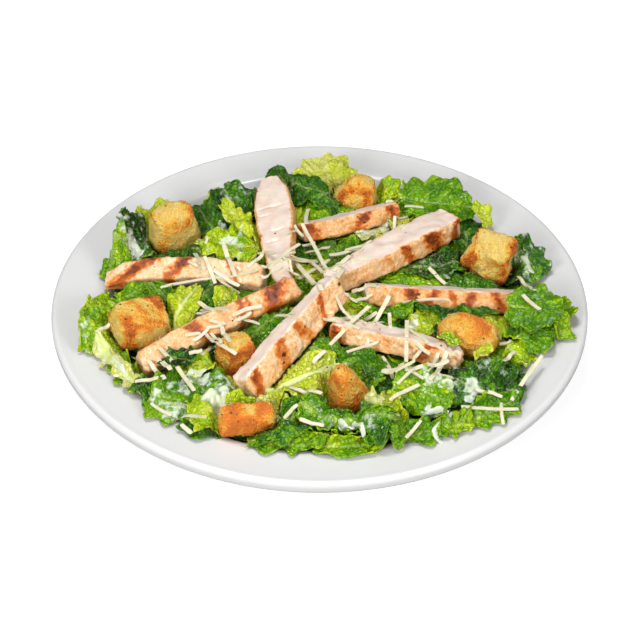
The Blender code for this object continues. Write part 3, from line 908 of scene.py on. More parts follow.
def sliceFrame(name, lean):
    # the slice's own axes, from the CAD node: along it, out of its front skin, out of its cut face
    points = np.array([vert.co for vert in nodes[name].data.vertices]) / mm
    points = np.unique(points.round(3), axis=0)
    along = Vector(np.linalg.svd(points - points.mean(0), full_matrices=False)[2][0])
    ends = sorted((points @ np.array(along)).tolist())
    middle = points.mean(0)
    outer = Vector(middle) + along * (ends[-1] - middle @ np.array(along))
    inner = Vector(middle) + along * (ends[0] - middle @ np.array(along))
    if outer.xy.length > inner.xy.length:
        along = -along
    back = Vector((0, 0, 1)).cross(along).normalized()
    back = back if back.y > 0 else -back
    upright = along.cross(back)
    upright = upright if upright.z > 0 else -upright
    turn = math.radians(lean)
    cut = upright * math.cos(turn) + back * math.sin(turn)
    skin = upright * math.sin(turn) - back * math.cos(turn)
    return points, along, skin, cut


def measuredSlice(name, lean):
    # middle line and half widths at each of the CAD solid's own sections, evened out between them
    points, along, skin, cut = sliceFrame(name, lean)
    run = points @ np.array(along)
    share = (run - run.min()) / (run.max() - run.min())
    station = np.rint(share * meatLook["stations"]).astype(int)
    rows = []
    for index in range(meatLook["stations"] + 1):
        ring = points[station == index]
        out, up = ring @ np.array(skin), ring @ np.array(cut)
        middle = (out.max() + out.min()) / 2, (up.max() + up.min()) / 2
        rows.append((run.min() + (run.max() - run.min()) * index / meatLook["stations"], *middle,
                     (out.max() - out.min()) / 2, (up.max() - up.min()) / 2))
    dense = np.linspace(0, meatLook["stations"], meatLook["along"] + 1)
    rows = np.array(rows)
    lines = np.array([np.interp(dense, range(len(rows)), column) for column in rows.T])
    for _ in range(meatLook["evening"]):
        lines[:, 1:-1] = (lines[:, :-2] + 2 * lines[:, 1:-1] + lines[:, 2:]) / 4
    return lines.T, along, skin, cut


def markAt(plan, run, length, b, halfUp, seed):
    # how dark the grill's bars are at one point of the skin
    mark = 0
    across = b * halfUp
    rough = 0.35 * wobble(run / 3.2, across / 3.2, seed + 8) + 0.2 * wobble(run, across, seed + 3)
    for offset, wide, slant, strength in plan["marks"]:
        off = run - plan["start"] - offset * length - slant * b + rough * 4.5
        bar = ease(0.66, 0.06, abs(off) / wide + 0.22 * wobble(run / 1.6, across / 1.6, seed + 2))
        mark = max(mark, strength * bar * (1.15 + 0.9 * rough))
    return clamp(mark, 0, 1.2) * (0.7 + 0.3 * ease(-1.0, 0.5, b))


def charAt(plan, run, length, b, halfUp, seed):
    # how black one point of the skin is
    char = 0
    for offset, height, size in plan["chars"]:
        off = math.hypot(run - plan["start"] - offset * length, (b - height) * halfUp)
        blot = 0.5 * wobble(run / 0.9, b * halfUp / 0.9, seed + 6)
        char = max(char, ease(1.0, 0.35, off / size + blot))
    return char


def makeSlice(name, material, seed):
    # a squared tube along the slice's middle line, its ends drawn together, with skin and cut face
    look = meatLook
    lines, along, skin, cut = measuredSlice(name, slicePlan[name]["lean"])
    start, length = lines[0][0], lines[-1][0] - lines[0][0]
    plan = {**slicePlan[name], "start": start}
    caps = look["capRings"]
    last = look["along"] + 2 * caps
    shape = bmesh.new()
    bmesh.ops.create_grid(shape, x_segments=look["around"], y_segments=last, size=1)
    for label in ("searAndShade", "mark", "char"):
        shape.verts.layers.float.new(label)
    layers = [shape.verts.layers.float[label] for label in ("searAndShade", "mark", "char")]
    poles = {}
    for vert in shape.verts:
        turn = math.pi * vert.co.x
        row = round((vert.co.y + 1) / 2 * last)
        fromEnd = min(row, last - row)
        capShare = clamp(fromEnd / caps)
        run, out, up, halfOut, halfUp = lines[int(clamp(row - caps, 0, look["along"]))]
        atOuter = row < last / 2
        endRun = start if atOuter else lines[-1][0]
        inset = look["endRound"] * (1 if atOuter else -1)
        if capShare < 1:
            run = endRun + inset * (1 - math.sqrt(max(0, 1 - capShare ** 4)))
        else:
            shrink = 1 - 2 * look["endRound"] / length
            run = start + look["endRound"] + (run - start) * shrink
        power = look["squareness"]
        c, s = math.cos(turn), math.sin(turn)
        fit = 1 / (abs(c) ** power + abs(s) ** power) ** (1 / power)
        a, b = c * fit * capShare, s * fit * capShare
        onSkin = abs(c * fit) - abs(s * fit)
        seam = 0.12 * wobble(run / 4, seed, b * 2) + 0.09 * wobble(run / 1.5, seed + 4, b)
        searAndShade = ease(-0.1, 0.06, onSkin + 0.03 + seam)
        browning = plan["ends"][0 if atOuter else 1]
        endShare = ease(3.5, 0.5, abs(run - endRun) + 1.6 * wobble(a * 3, b * 3 + run / 4, seed))
        capTone = ease(0.99, 0.8, capShare)
        searAndShade = max(searAndShade * (1 - capTone), browning * max(capTone, endShare * 0.8))
        # the underside below the cut face gets the skin's tan too: painted shade there, not searing
        searAndShade = max(searAndShade, 0.85 * ease(0.5, 0.8, -s))
        mark = markAt(plan, run, length, b, halfUp, seed) * (searAndShade if c > 0 else 0.6 * searAndShade)
        char = charAt(plan, run, length, b, halfUp, seed) if c > 0 else 0
        ragged = plan["torn"][0 if atOuter else 1] * ease(7, 0, abs(run - endRun))
        p = Vector((run, a * halfOut, b * halfUp))
        bumps = wobble(p.x / 3.1, p.y / 2.6 + seed, p.z / 2.6)
        bumps += 0.6 * wobble(p.x / 1.3, p.y / 1.3, p.z / 1.3 + seed)
        smooth = wobble(p.x / 6, p.y / 4 + seed, p.z / 4)
        smooth += 0.5 * wobble(p.x / 1.4, p.y / 3, p.z / 3 + seed)
        lift = look["skinRelief"] * bumps * searAndShade + look["cutRelief"] * smooth * (1 - searAndShade)
        lift -= look["markDepth"] * mark
        lift += look["lumps"] * wobble(p.x / 9, p.y / 6 + seed, p.z / 6)
        tear = 0.3 * ease(0, 0.4, wobble(p.x, p.y / 1.5, seed))
        lift += ragged * (wobble(p.x / 4, p.y / 3, p.z / 3 + seed * 2) - tear)
        for offset, middle, reach in plan.get("cracks", ()):
            off = abs(run - start - offset * length + 0.8 * wobble(a * 4, b * 4, offset * 40))
            lift -= 0.9 * ease(0.9, 0.1, off) * ease(reach, reach * 0.6, abs(a - middle))
        normal = skin * (c * abs(c) ** 2) + cut * (s * abs(s) ** 2)
        if capShare < 1:
            normal = normal * capShare + along * (-1 if atOuter else 1) * (1 - capShare)
        ridge = 0.5 * (1 - capTone) * ease(0.3, 0.02, abs(onSkin)) * wobble(run / 2.2, seed, 3)
        place = along * run + skin * (out + a * halfOut) + cut * (up + b * halfUp)
        vert.co = place + normal.normalized() * (lift + ridge - 0.2)
        vert.co.z = min(vert.co.z, look["highest"])
        if fromEnd == 0:  # the end rows are single points
            vert.co = poles.setdefault(row, vert.co.copy())
        for layer, value in zip(layers, (searAndShade, mark, char)):
            vert[layer] = value
    bmesh.ops.remove_doubles(shape, verts=shape.verts, dist=0.004)
    outwards(shape)
    addPiece(name + "_meat", shape, material, [name])


meatColours = {
    "cut": srgb(234, 218, 205), "cutShade": srgb(226, 198, 180), "skin": srgb(236, 188, 134),
    "skinTan": srgb(222, 148, 70), "skinPale": srgb(245, 216, 184), "markPale": srgb(226, 146, 66),
    "mark": srgb(188, 88, 20), "markDeep": srgb(106, 44, 10), "char": srgb(48, 22, 8),
}


def meatGroup():
    colours = meatColours
    group, given, result = newGroup("grilledMeat", "Tan", 0.3)
    place = objectPlace(group)
    patch = grain(group, place, 160, 4, 0.6)
    fine = grain(group, place, 900, 4, 0.65)
    middling = grain(group, place, 430, 3)
    speckle = grain(group, place, 1300, 2)
    searAndShade = attribute(group, "searAndShade")
    mark = attribute(group, "mark")
    char = attribute(group, "char")
    cut = mixed(group, stretched(group, patch, 0.3, 0.75), colours["cut"], colours["cutShade"])
    cut = mixed(group, stretched(group, fine, 0.55, 0.8, 0, 0.35), cut, colours["cutShade"])
    tan = plus(group, calc(group, "MULTIPLY", patch, 0.55), middling, 0.5, 0)
    tan = plus(group, tan, fine, 0.9)
    tan = plus(group, tan, given, 0.5, 0.3)
    skin = ramp(group, tan, (
        (0.34, colours["skinPale"]), (0.54, colours["skin"]), (0.76, colours["skinTan"]),
        (1.0, colours["mark"]),
    ))
    edge = plus(group, searAndShade, fine, 0.5)
    colour = mixed(group, stretched(group, edge, 0.3, 0.7), cut, skin)
    burn = plus(group, plus(group, mark, fine, 0.5), patch, 0.5)
    colour = mixed(group, stretched(group, burn, 0.05, 0.45), colour, colours["markPale"])
    colour = mixed(group, stretched(group, burn, 0.35, 0.75), colour, colours["mark"])
    colour = mixed(group, stretched(group, burn, 0.7, 1.15, 0, 0.95), colour, colours["markDeep"])
    specks = stretched(group, plus(group, speckle, mark, 0.05, 0), 0.66, 0.74)
    specks = calc(group, "MULTIPLY", specks, calc(group, "MULTIPLY", searAndShade, 0.6))
    black = calc(group, "MAXIMUM", specks, stretched(group, char, 0.3, 0.7, 0, 0.9))
    plug(group, result["Colour"], mixed(group, black, colour, colours["char"]))
    rough = stretched(group, middling, 0.3, 0.7, 0.28, 0.5)
    plug(group, result["Roughness"], plus(group, rough, mark, -0.08, 0))
    plug(group, result["Height"], calc(group, "MULTIPLY", fine, plus(group, 0.3, searAndShade, 0.7, 0)))
    return group


def makeChicken():
    group, look = meatGroup(), meatLook
    for index, (name, plan) in enumerate(slicePlan.items()):
        material, shader = groupMaterial(
            name + "_meat", group, plan["tan"], look["bump"], look["ior"])
        letLightIn(shader, *look["lightIn"])
        makeSlice(name, material, 5.3 * index + 1.7)


makeChicken()
print("chicken made")


# Croutons
#
# turn sets the block's own axes as the CAD solid has them. toast darkens the whole, rim browns the
# edges, orange warms it and pores is how open the crumb is. bulge and lumps shape the sides, and
# base browns each block towards its foot, partly toasting and partly painted shade under it.
breadLook = {
    "cuts": 33, "smoothing": 2, "lumps": 0.8, "bulge": 1.6, "poreDepth": 0.75, "poreSize": 2.3,
    "crumb": 0.4, "base": 0.3, "bump": 1.7, "ior": 1.4, "lightIn": (0.3, (1.0, 0.5, 0.2), 3),
}
croutonPlan = {
    "crouton_back_left": {
        "turn": (12, -8, 25), "toast": 0.3, "rim": 0.5, "orange": 0.45, "pores": 0.6,
    },
    "crouton_left": {
        "turn": (14, 6, 28), "toast": 0.3, "rim": 0.8, "orange": 0.5, "pores": 0.6,
    },
    "crouton_back": {
        "turn": (-8, 18, -12), "toast": 0.44, "rim": 0.7, "orange": 0.6, "pores": 0.5,
    },
    "crouton_right": {
        "turn": (22, 10, -18), "toast": 0.2, "rim": 1.0, "orange": 0.3, "pores": 1.3,
        "bulge": 2.2, "lumps": 1.9,
    },
    "crouton_low_right": {
        "turn": (24, 14, -10), "toast": 0.6, "rim": 0.2, "orange": 1.0, "pores": 0.5,
    },
    "crouton_low_left": {
        "turn": (10, 0, 34), "toast": 0.55, "rim": 0.8, "orange": 0.7, "pores": 0.9,
    },
    "crouton_front_right": {
        "turn": (6, -14, 30), "toast": 0.64, "rim": 0.25, "orange": 1.0, "pores": 0.3,
        "bulge": 0.6, "lumps": 0.5,
    },
    "crouton_front_left": {
        "turn": (20, -4, 8), "toast": 0.74, "rim": 0.6, "orange": 1.0, "pores": 0.6,
    },
}


def makeCrouton(name, material, seed):
    # a finely cut cube drawn onto the CAD solid, evened out and given its crust and pores
    look = {**breadLook, **croutonPlan[name]}
    low, high = nodeBox(name)
    centre = (low + high) / 2
    tree = solidTree(name)
    turn = Matrix.Identity(3)
    for axis, angle in zip("XYZ", look["turn"]):
        turn = Matrix.Rotation(math.radians(angle), 3, axis) @ turn
    shape = bmesh.new()
    bmesh.ops.create_cube(shape, size=2)
    bmesh.ops.subdivide_edges(shape, edges=shape.edges, cuts=look["cuts"], use_grid_fill=True)
    toast = shape.verts.layers.float.new("toast")
    pit = shape.verts.layers.float.new("pit")
    for vert in shape.verts:
        rims = sorted(abs(part) for part in vert.co)
        patch = wobble(vert.co.x * 1.6, vert.co.y * 1.6 + seed, vert.co.z * 1.6)
        vert[toast] = ease(0.3, 1.0, rims[1]) * (0.7 + 0.8 * patch)
        way = (turn @ vert.co).normalized()
        hit = tree.ray_cast(centre + way * 60, -way)[0]
        vert.co = hit if hit is not None else centre + way * 8
    for _ in range(look["smoothing"]):
        bmesh.ops.smooth_vert(shape, verts=shape.verts, factor=0.5, use_axis_x=True, use_axis_y=True,
                              use_axis_z=True)
    shape.normal_update()
    moved = []
    for vert in shape.verts:
        # browner towards the foot: partly toasting, partly painted shade on the underside
        deep = look["base"] * ease(0.6, 0, (vert.co.z - low.z) / (high.z - low.z))
        p = vert.co + Vector((seed, seed, seed)) * 7
        bulge = look["bulge"] * wobble(p.x / 13, p.y / 13, p.z / 13)
        lump = noise.fractal(p / 6, 1.0, 2.0, 3) + bulge
        near = noise.voronoi(p / look["poreSize"])[0]
        pore = ease(0.5, 0.15, near[0]) * ease(-0.25, 0.3, wobble(p.x / 5, p.y / 5, p.z / 5))
        crumb = wobble(p.x / 1.3, p.y / 1.3, p.z / 1.3)
        crumb += 0.8 * wobble(p.x / 0.9, p.y / 0.9, p.z / 0.9)
        crumb *= 1 + 1.2 * max(0, vert[toast] - 0.4)
        lift = look["lumps"] * lump - look["poreDepth"] * look["pores"] * pore + look["crumb"] * crumb
        vert[pit] = pore * look["pores"]
        edge = look["rim"] * 1.05 * vert[toast]
        vert[toast] = clamp(look["toast"] - 0.28 + deep + edge + 0.22 * lump - 0.1 * pore)
        moved.append(vert.co + vert.normal * (lift - 0.25))
    for vert, place in zip(shape.verts, moved):
        vert.co = place
    addPiece(name + "_bread", shape, material, [name])


breadColours = {
    "crumb": srgb(255, 222, 128), "gold": srgb(255, 204, 82), "amber": srgb(255, 164, 44),
    "brown": srgb(202, 98, 10), "dark": srgb(104, 42, 4), "orange": srgb(252, 142, 48),
}


def breadGroup():
    colours = breadColours
    group, orange, result = newGroup("friedBread", "Orange", 0.4)
    place = objectPlace(group)
    patch = grain(group, place, 130, 4, 0.6)
    fine = grain(group, place, 1100, 4, 0.7)
    bubbles = cells(group, place, 900)
    tone = plus(group, plus(group, attribute(group, "toast"), patch, 1.7), fine, 1.6)
    crust = ramp(group, tone, (
        (0.05, colours["crumb"]), (0.33, colours["gold"]), (0.54, colours["amber"]),
        (0.8, colours["brown"]), (1.0, colours["dark"]),
    ))
    warm = calc(group, "MULTIPLY", orange, stretched(group, tone, 0.3, 0.8, 0.15, 0.75))
    crust = mixed(group, warm, crust, colours["orange"])
    # the pores are painted darker brown: painted shade inside them
    pitShade = calc(group, "MULTIPLY", attribute(group, "pit"), 0.35)
    plug(group, result["Colour"], mixed(group, pitShade, crust, colours["brown"]))
    plug(group, result["Roughness"], stretched(group, fine, 0.2, 0.8, 0.55, 0.8))
    plug(group, result["Height"], plus(group, fine, bubbles, 0.9, 0))
    return group


def makeCroutons():
    group, look = breadGroup(), breadLook
    for index, (name, plan) in enumerate(croutonPlan.items()):
        material, shader = groupMaterial(
            name + "_bread", group, plan["orange"], look["bump"], look["ior"])
        letLightIn(shader, *look["lightIn"])
        makeCrouton(name, material, 2.9 * index + 0.8)


makeCroutons()
print("croutons made")


# What lies on top: cheese, dressing and pepper. laidTrees holds, for each piece made so far, a
# search tree and the sides and top of its box in millimetres.
laidTrees = []


def gatherSurfaces():
    depsgraph = bpy.context.evaluated_depsgraph_get()
    for piece in scene.objects:
        if piece.type == "MESH" and not piece.hide_render and piece.name not in nodes:
            across, back, up = zip(*piece.bound_box)
            box = (min(across), max(across), min(back), max(back), max(up))
            tree = BVHTree.FromObject(piece, depsgraph)
            laidTrees.append((tree, *(side / mm for side in box)))


def surfaceAt(x, y):
    # height of the first surface that a line straight down meets
    best = 0.0
    start = Vector((x, y, 90)) * mm
    for tree, left, right, front, back, high in laidTrees:
        if left <= x <= right and front <= y <= back and high > best:
            hit = tree.ray_cast(start, Vector((0, 0, -1)))[0]
            if hit is not None:
                best = max(best, hit.z / mm)
    return best


# Shreds as x and y of one end, x and y of the other, and how far the middle bows to the side
cheeseLook = {
    "width": 1.95, "widths": (0.8, 1.15), "thick": 0.5, "steps": 6, "sides": 4, "sag": 0.15,
    "steepest": 0.6, "highest": 61.4, "seed": 23,
    "loose": 26, "looseReach": 78, "looseMiddle": -8, "looseLength": (3, 8),
    "looseWidths": (0.45, 0.9), "looseBow": (-1.2, 1.2),
    "colour": srgb(226, 219, 192), "shade": srgb(212, 202, 162),
    "bump": 0.12, "lightIn": (0.25, (1.0, 0.8, 0.5), 1.5),
}
cheesePlan = [
    (-49, 20, -42, -6, 0), (-64, 21, -60, -2, 1), (-53, 0, -40, -9, -1), (-79, -10, -48, -4, 3),
    (-108, -41, -102, -35, -0.5), (-86, -75, -75, -76, 0), (-76, -55, -57, -91, 1),
    (-60, -51, -53, -44, -1), (-55, -65, -52, -49, 0.5), (-61, -65, -55, -64, -0.5),
    (-60, -29, -42, -40, 0), (-58, -27, -44, -40, 1), (-78, -86, -68, -94, -1),
    (-63, -95, -51, -104, 0.5), (-63, -99, -58, -105, -0.5), (-28, 10, -36, 0, 0),
    (-9, 33, 4, -11, 1), (5, 9, 20, 18, -1), (-7, 17, 5, 11, 0.5), (-27, -1, -12, 1, -0.5),
    (-21, -37, -11, -44, 0), (-39, -37, -29, -39, 1), (2, -43, 19, -31, -1),
    (5, -58, 24, -31, 0.5), (27, -35, 34, -22, -0.5), (13, -59, 28, -54, 0), (-3, -70, 3, -65, 1),
    (-14, -83, 1, -92, -1), (-16, -102, -10, -98, 0.5), (-9, -102, 2, -104, -0.5),
    (34, -31, 34, -44, 0), (30, -56, 34, -76, 1), (29, -72, 37, -77, -1), (40, -24, 64, -20, 3),
    (55, 3, 63, -4, -0.5), (42, -40, 40, -77, 0), (43, -45, 51, -58, 1), (29, -72, 39, -75, -1),
    (38, -76, 48, -79, 0.5), (50, -77, 56, -61, -0.5), (41, -77, 60, -71, 0),
    (32, -94, 46, -82, 1), (65, -92, 92, -88, -1), (72, -84, 84, -87, 0.5),
    (84, -86, 84, -98, -0.5), (39, -110, 46, -101, 0), (87, -63, 94, -50, 1),
    (100, -19, 107, -31, -1), (89, -85, 106, -56, 0.5), (87, -44, 92, -46, -0.5),
    (101, 7, 106, -18, 0), (45, 56, 55, 55, 1), (-6, 54, -7, 33, -1), (-58, 8, -52, -8, 0.5),
    (-66, 6, -57, 1, -0.5), (-51, -4, -40, -11, 0), (-59, -25, -51, -36, 1),
    (-46, -4, -31, -2, -1), (-31, 14, -22, -1, 0.5), (-29, -1, -15, -2, -0.5),
    (-25, -5, -10, 10, 0), (-18, -2, -1, 9, 1), (-15, 3, -2, 8, -1), (-10, -6, 5, 7, 0.5),
    (-1, 0, 12, -10, -0.5), (-12, 4, -1, -26, 0), (-18, -8, -10, -7, 1), (-29, -7, -19, -8, -1),
    (-5, 10, 3, -12, 0.5), (13, 16, 26, 13, -0.5), (7, -12, 15, 0, 0), (16, -4, 26, -1, 1),
    (4, -29, 12, -11, -1), (-6, -9, 1, -34, 0.5), (16, -16, 23, -14, -0.5), (17, -23, 26, -20, 0),
    (23, -16, 29, -20, 1), (-40, -39, -33, -34, -1), (-37, -34, -28, -31, 0.5),
    (-54, -44, -47, -42, -0.5), (-53, -41, -45, -41, 0), (-52, -46, -46, -61, 1),
    (-47, -42, -42, -63, -1), (-55, -46, -46, -61, 0.5), (-48, -59, -39, -66, -0.5),
    (-42, -37, -35, -33, 0), (-64, -49, -57, -47, 1), (8, -32, 16, -41, -1),
    (12, -45, 19, -49, 0.5), (16, -30, 22, -44, -0.5), (22, -34, 28, -30, 0),
    (26, -42, 31, -34, 1), (35, -77, 44, -75, -1), (44, -63, 49, -59, 0.5),
    (46, -58, 52, -61, -0.5), (36, -82, 43, -77, 0), (55, -78, 62, -76, 1),
    (51, -81, 60, -61, -1), (-81, -61, -72, -76, 0.5), (-76, -61, -69, -75, -0.5),
]


def addShred(shape, start, end, bow, width, seed):
    # a flat strip that lies on what is highest under it and sags a little between
    look = cheeseLook
    run = end - start
    across = Vector((-run.y, run.x)).normalized()
    steps = look["steps"]
    spots = [start + run * (i / steps) + across * bow * 2 * (i / steps) * (1 - i / steps)
             for i in range(steps + 1)]
    under = [max(surfaceAt(*(spot + across * width * part)) for part in (-0.4, 0.4))
             for spot in spots]
    # a stiff strip rests on the two spots, either side of its middle, that hold it highest
    pairs = [(i, j) for i in range(steps // 2 + 1) for j in range(steps // 2, steps + 1) if i < j]
    i, j = max(pairs, key=lambda pair: under[pair[0]] + (under[pair[1]] - under[pair[0]])
               * (steps / 2 - pair[0]) / (pair[1] - pair[0]))
    steepest = run.length * look["steepest"] / steps
    grade = clamp((under[j] - under[i]) / (j - i), -steepest, steepest)
    line = [under[i] + grade * (k - i) for k in range(steps + 1)]
    excess = max(0, max(u - h for u, h in zip(under, line)))
    heights = [h + excess - look["sag"] * (h + excess - u) for u, h in zip(under, line)]
    made = bmesh.ops.create_uvsphere(shape, u_segments=look["sides"], v_segments=steps + 2, radius=1)
    tilt = 0.35 * wobble(seed, 3.3)
    for vert in made["verts"]:
        ring = round(math.acos(clamp(vert.co.z, -1, 1)) / math.pi * (steps + 2))
        index = min(max(ring - 1, 0), steps)
        share = index / steps
        reach = math.hypot(vert.co.x, vert.co.y)
        pole = reach < 1e-4
        sideways = 0 if pole else (vert.co.x - vert.co.y) / reach
        upward = 0 if pole else (vert.co.x + vert.co.y) / reach
        narrow = 1 - 0.1 * abs(2 * share - 1) ** 6 + 0.16 * wobble(share * 2.5, seed)
        side = sideways * width / 2 * narrow
        rise = look["thick"] * (0.5 + 0.5 * upward) + tilt * side
        spot = spots[index] + across * side
        if pole:
            spot += run.normalized() * (0.12 * (ring > steps) - 0.12 * (ring == 0)) * width
        vert.co = (spot.x, spot.y, min(look["highest"] - look["thick"], heights[index]) + rise)


def makeCheese():
    look = cheeseLook
    chance = random.Random(look["seed"])
    shape = bmesh.new()
    for index, (x, y, endX, endY, bow) in enumerate(cheesePlan):
        width = look["width"] * chance.uniform(*look["widths"])
        addShred(shape, Vector((x, y)), Vector((endX, endY)), bow, width, index * 1.7)
    for index in range(look["loose"]):
        angle = chance.uniform(0, 2 * math.pi)
        reach = look["looseReach"] * chance.random() ** 0.8
        middle = Vector((reach * math.cos(angle), reach * math.sin(angle) + look["looseMiddle"]))
        heading = chance.uniform(0, math.pi)
        length = chance.uniform(*look["looseLength"])
        half = Vector((math.cos(heading), math.sin(heading))) * length / 2
        bow = chance.uniform(*look["looseBow"])
        width = look["width"] * chance.uniform(*look["looseWidths"])
        addShred(shape, middle - half, middle + half, bow, width, index * 2.3 + 50)
    outwards(shape)
    material, tree, shader = newMaterial("hard_cheese")
    place = objectPlace(tree)
    fine = grain(tree, place, 1300, 3)
    patch = grain(tree, place, 180, 2)
    paintTwoTone(tree, shader, stretched(tree, patch, 0.35, 0.75), look)
    plug(tree, shader.inputs["Roughness"], stretched(tree, fine, 0.2, 0.8, 0.42, 0.6))
    plug(tree, shader.inputs["Normal"], relief(tree, fine, look["bump"]))
    letLightIn(shader, *look["lightIn"])
    piece = addPiece("cheese_shreds", shape, material)
    piece.data.shade_flat()


# Thick runs of dressing, each a line of (x, y, half width)
dressingLook = {
    "perKnot": 5, "sides": 14, "thick": 0.6, "sink": 0.08, "steepest": 1.3, "highest": 61.5,
    "colour": srgb(206, 212, 192), "shade": srgb(184, 198, 160),
    "bump": 0.2, "lightIn": (0.15, (1.0, 1.0, 0.9), 1),
}
dressingPlan = [
    ((9, -101, 0.7), (11, -105, 1.8), (13, -109, 2.2), (15, -111, 1.2)),
    ((15, -105, 0.8), (18, -108, 1.4), (20, -112, 0.8)),
    ((49, -95, 0.6), (53, -93, 1.1), (57, -93, 1.1), (59, -96, 1.4), (59, -99, 1.0)),
    ((54, -101, 0.6), (52, -103, 1.1), (53, -106, 1.2), (56, -107, 0.8)),
    ((104, 22, 0.9), (106, 18, 1.4), (107, 14, 1.0), (108, 9, 1.7)),
    ((21, 32, 0.7), (24, 33, 1.6), (27, 31, 1.7), (28, 28, 0.9)),
    ((-99, -56, 0.5), (-96, -60, 1.0), (-94, -63, 1.2), (-92, -66, 0.7)),
]


def curveThrough(knots, perKnot):
    # a smooth line through the given points
    line = []
    for index in range(perKnot * (len(knots) - 1) + 1):
        first = min(index // perKnot, len(knots) - 2)
        share = index / perKnot - first
        a, b = knots[first], knots[first + 1]
        before, after = knots[max(first - 1, 0)], knots[min(first + 2, len(knots) - 1)]
        line.append(a + (b - before) * share / 2 + (before - a * 2.5 + b * 2 - after / 2) * share ** 2
                    + (a * 1.5 - before / 2 - b * 1.5 + after / 2) * share ** 3)
    return line


def evened(values, times):
    for _ in range(times):
        padded = [values[0], *values, values[-1]]
        values = [(a + 2 * b + c) / 4 for a, b, c in zip(padded, padded[1:], padded[2:])]
    return values


def addDrip(shape, knots, seed):
    # a rounded run that lies along the surface and dips under it at its sides
    look = dressingLook
    line = curveThrough([Vector(knot) for knot in knots], look["perKnot"])
    last = len(line) - 1
    ways = [(line[min(i + 1, last)].xy - line[max(i - 1, 0)].xy).normalized()
            for i in range(last + 1)]
    sides = [Vector((-way.y, way.x)) for way in ways]
    halves = [spot.z * (1 + 0.3 * wobble(index / 3, seed)) for index, spot in enumerate(line)]
    edges = [[surfaceAt(*(spot.xy + side * half * part))
              for spot, side, half in zip(line, sides, halves)] for part in (-1, 0, 1)]
    levels = evened([(max(heights) + sorted(heights)[1]) / 2 for heights in zip(*edges)], 2)
    slants = evened([clamp((right - left) / (2 * half), -look["steepest"], look["steepest"])
                     for left, right, half in zip(edges[0], edges[2], halves)], 3)
    made = bmesh.ops.create_uvsphere(shape, u_segments=look["sides"], v_segments=last + 2, radius=1)
    for vert in made["verts"]:
        ring = round(math.acos(clamp(vert.co.z, -1, 1)) / math.pi * (last + 2))
        index = min(max(ring - 1, 0), last)
        reach = max(1e-4, math.hypot(vert.co.x, vert.co.y))
        pole = reach < 0.01
        c, s = (0, 0) if pole else (vert.co.x / reach, vert.co.y / reach)
        half = halves[index]
        spot = line[index].xy + sides[index] * c * half
        if pole:
            spot = spot + ways[index] * half * (0.5 if ring else -0.5)
        rise = look["thick"] * min(1, half) * (s if s > 0 else 0.4 * s)
        level = levels[index] + slants[index] * c * half - look["sink"]
        vert.co = (spot.x, spot.y, min(look["highest"], level + rise))


def makeDressing():
    look = dressingLook
    shape = bmesh.new()
    for index, plan in enumerate(dressingPlan):
        addDrip(shape, plan, 1.9 * index + 0.3)
    outwards(shape)
    material, tree, shader = newMaterial("dressing")
    place = objectPlace(tree)
    patch = grain(tree, place, 220, 3)
    paintTwoTone(tree, shader, stretched(tree, patch, 0.4, 0.8), look)
    plug(tree, shader.inputs["Roughness"], stretched(tree, patch, 0.3, 0.7, 0.18, 0.3))
    plug(tree, shader.inputs["Normal"], relief(tree, patch, look["bump"]))
    letLightIn(shader, *look["lightIn"])
    addPiece("dressing_runs", shape, material)


pepperLook = {
    "seed": 7, "size": (0.28, 0.62), "crouton": 9, "slice": 6, "leaf": 40, "leafReach": 100,
    "highest": 61.8, "roughness": 0.6,
    "colour": srgb(34, 26, 18), "shade": srgb(84, 62, 30),
}


def makePepper():
    # cracked pepper and herb specks, most of them on the bread and the meat
    look = pepperLook
    chance = random.Random(look["seed"])
    shape = bmesh.new()
    spots = []
    for name in toppingNames:
        low, high = nodeBox(name)
        count = look["crouton"] if name.startswith("crouton") else look["slice"]
        for _ in range(count):
            spots.append((chance.uniform(low.x, high.x), chance.uniform(low.y, high.y)))
    for _ in range(look["leaf"]):
        angle = chance.uniform(0, 2 * math.pi)
        reach = look["leafReach"] * math.sqrt(chance.random())
        spots.append((reach * math.cos(angle), reach * math.sin(angle)))
    for x, y in spots:
        size = chance.uniform(*look["size"])
        made = bmesh.ops.create_icosphere(shape, subdivisions=1, radius=1)["verts"]
        turn = Matrix.Rotation(chance.uniform(0, math.pi), 3, "Z")
        height = surfaceAt(x, y) + size * 0.15
        for vert in made:
            rough = 1 + 0.3 * wobble(vert.co.x * 2 + x, vert.co.y * 2 + y, vert.co.z * 2)
            form = turn @ Vector((vert.co.x * 1.3, vert.co.y * 0.85, vert.co.z * 0.5)) * rough * size
            vert.co = form + Vector((x, y, min(look["highest"], height)))
    outwards(shape)
    material, tree, shader = newMaterial("cracked_pepper")
    tint = stretched(tree, grain(tree, objectPlace(tree), 500, 2), 0.4, 0.65)
    paintTwoTone(tree, shader, tint, look)
    shader.inputs["Roughness"].default_value = look["roughness"]
    addPiece("pepper_specks", shape, material)


gatherSurfaces()
makeDressing()
print("dressing made")
laidTrees.clear()
gatherSurfaces()
makeCheese()
makePepper()
print("cheese and pepper made")


# Studio
studioLook = {
    "elevation": 39.889, "distance": 765, "target": (0.225, -21.885, 32.4), "lens": 86.77,
    "world": 0.28, "worldGloss": 0.05, "floor": srgb(158, 158, 158), "floorGlow": 0.8,
}
# Lights as place and size in metres, and watts. The glints only show as shine.
studioLights = {
    "top": ((-0.1, -0.05, 1.1), 0.32, 6.0), "left": ((-0.52, -0.86, 0.6), 0.4, 8.0),
    "right": ((0.66, -0.78, 0.59), 0.4, 5.6), "glintLeft": ((-0.3, 0.2, 1.0), 0.12, 3.4),
    "glintRight": ((0.35, 0.0, 1.05), 0.12, 3.4),
}


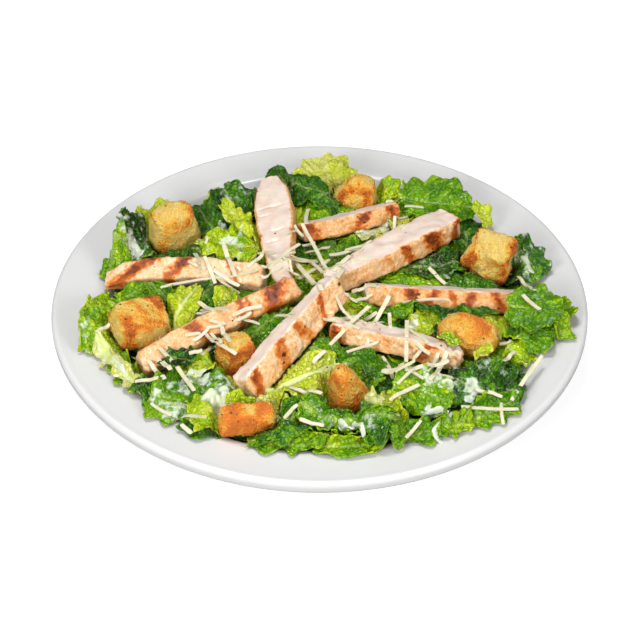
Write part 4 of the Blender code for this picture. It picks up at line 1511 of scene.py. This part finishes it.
def makeStudio():
    look = studioLook
    rise = math.radians(look["elevation"])
    target = Vector(look["target"])
    away = Vector((0, -math.cos(rise), math.sin(rise))) * look["distance"]
    camera = bpy.data.objects.new("camera", bpy.data.cameras.new("camera"))
    camera.data.lens = look["lens"]
    camera.data.sensor_width = 36
    camera.data.clip_start = 0.05
    camera.location = (target + away) * mm
    camera.rotation_euler = (math.pi / 2 - rise, 0, 0)
    scene.collection.objects.link(camera)
    scene.camera = camera
    for name, (place, size, watts) in studioLights.items():
        light = bpy.data.objects.new(name, bpy.data.lights.new(name, "AREA"))
        light.data.size = size
        light.data.energy = watts
        light.location = place
        light.rotation_euler = (-Vector(place)).to_track_quat("-Z", "Y").to_euler()
        light.visible_diffuse = not name.startswith("glint")
        scene.collection.objects.link(light)
    world = bpy.data.worlds.new("studio")
    world.use_nodes = True
    world.node_tree.nodes["Background"].inputs["Color"].default_value = (1, 1, 1, 1)
    mirrored = world.node_tree.nodes.new("ShaderNodeLightPath").outputs["Is Glossy Ray"]
    plug(world.node_tree, world.node_tree.nodes["Background"].inputs["Strength"],
         stretched(world.node_tree, mirrored, 0, 1, look["world"], look["worldGloss"]))
    scene.world = world
    scene.view_settings.view_transform = "Standard"
    shape = bmesh.new()
    bmesh.ops.create_grid(shape, x_segments=2, y_segments=2, size=4)
    mesh = bpy.data.meshes.new("floor")
    shape.to_mesh(mesh)
    shape.free()
    floor = bpy.data.objects.new("floor", mesh)
    material, tree, shader = newMaterial("floor")
    shader.inputs["Base Color"].default_value = look["floor"]
    shader.inputs["Roughness"].default_value = 0.9
    glow = tree.nodes.new("ShaderNodeEmission")
    glow.inputs["Strength"].default_value = look["floorGlow"]
    seen = tree.nodes.new("ShaderNodeLightPath").outputs["Is Camera Ray"]
    both = tree.nodes.new("ShaderNodeAddShader")
    lit = tree.nodes.new("ShaderNodeMixShader")
    tree.links.new(shader.outputs[0], both.inputs[0])
    tree.links.new(glow.outputs[0], both.inputs[1])
    tree.links.new(seen, lit.inputs[0])
    tree.links.new(shader.outputs[0], lit.inputs[1])
    tree.links.new(both.outputs[0], lit.inputs[2])
    tree.links.new(lit.outputs[0], tree.nodes["Material Output"].inputs["Surface"])
    mesh.materials.append(material)
    scene.collection.objects.link(floor)


makeStudio()
bpy.context.view_layer.update()
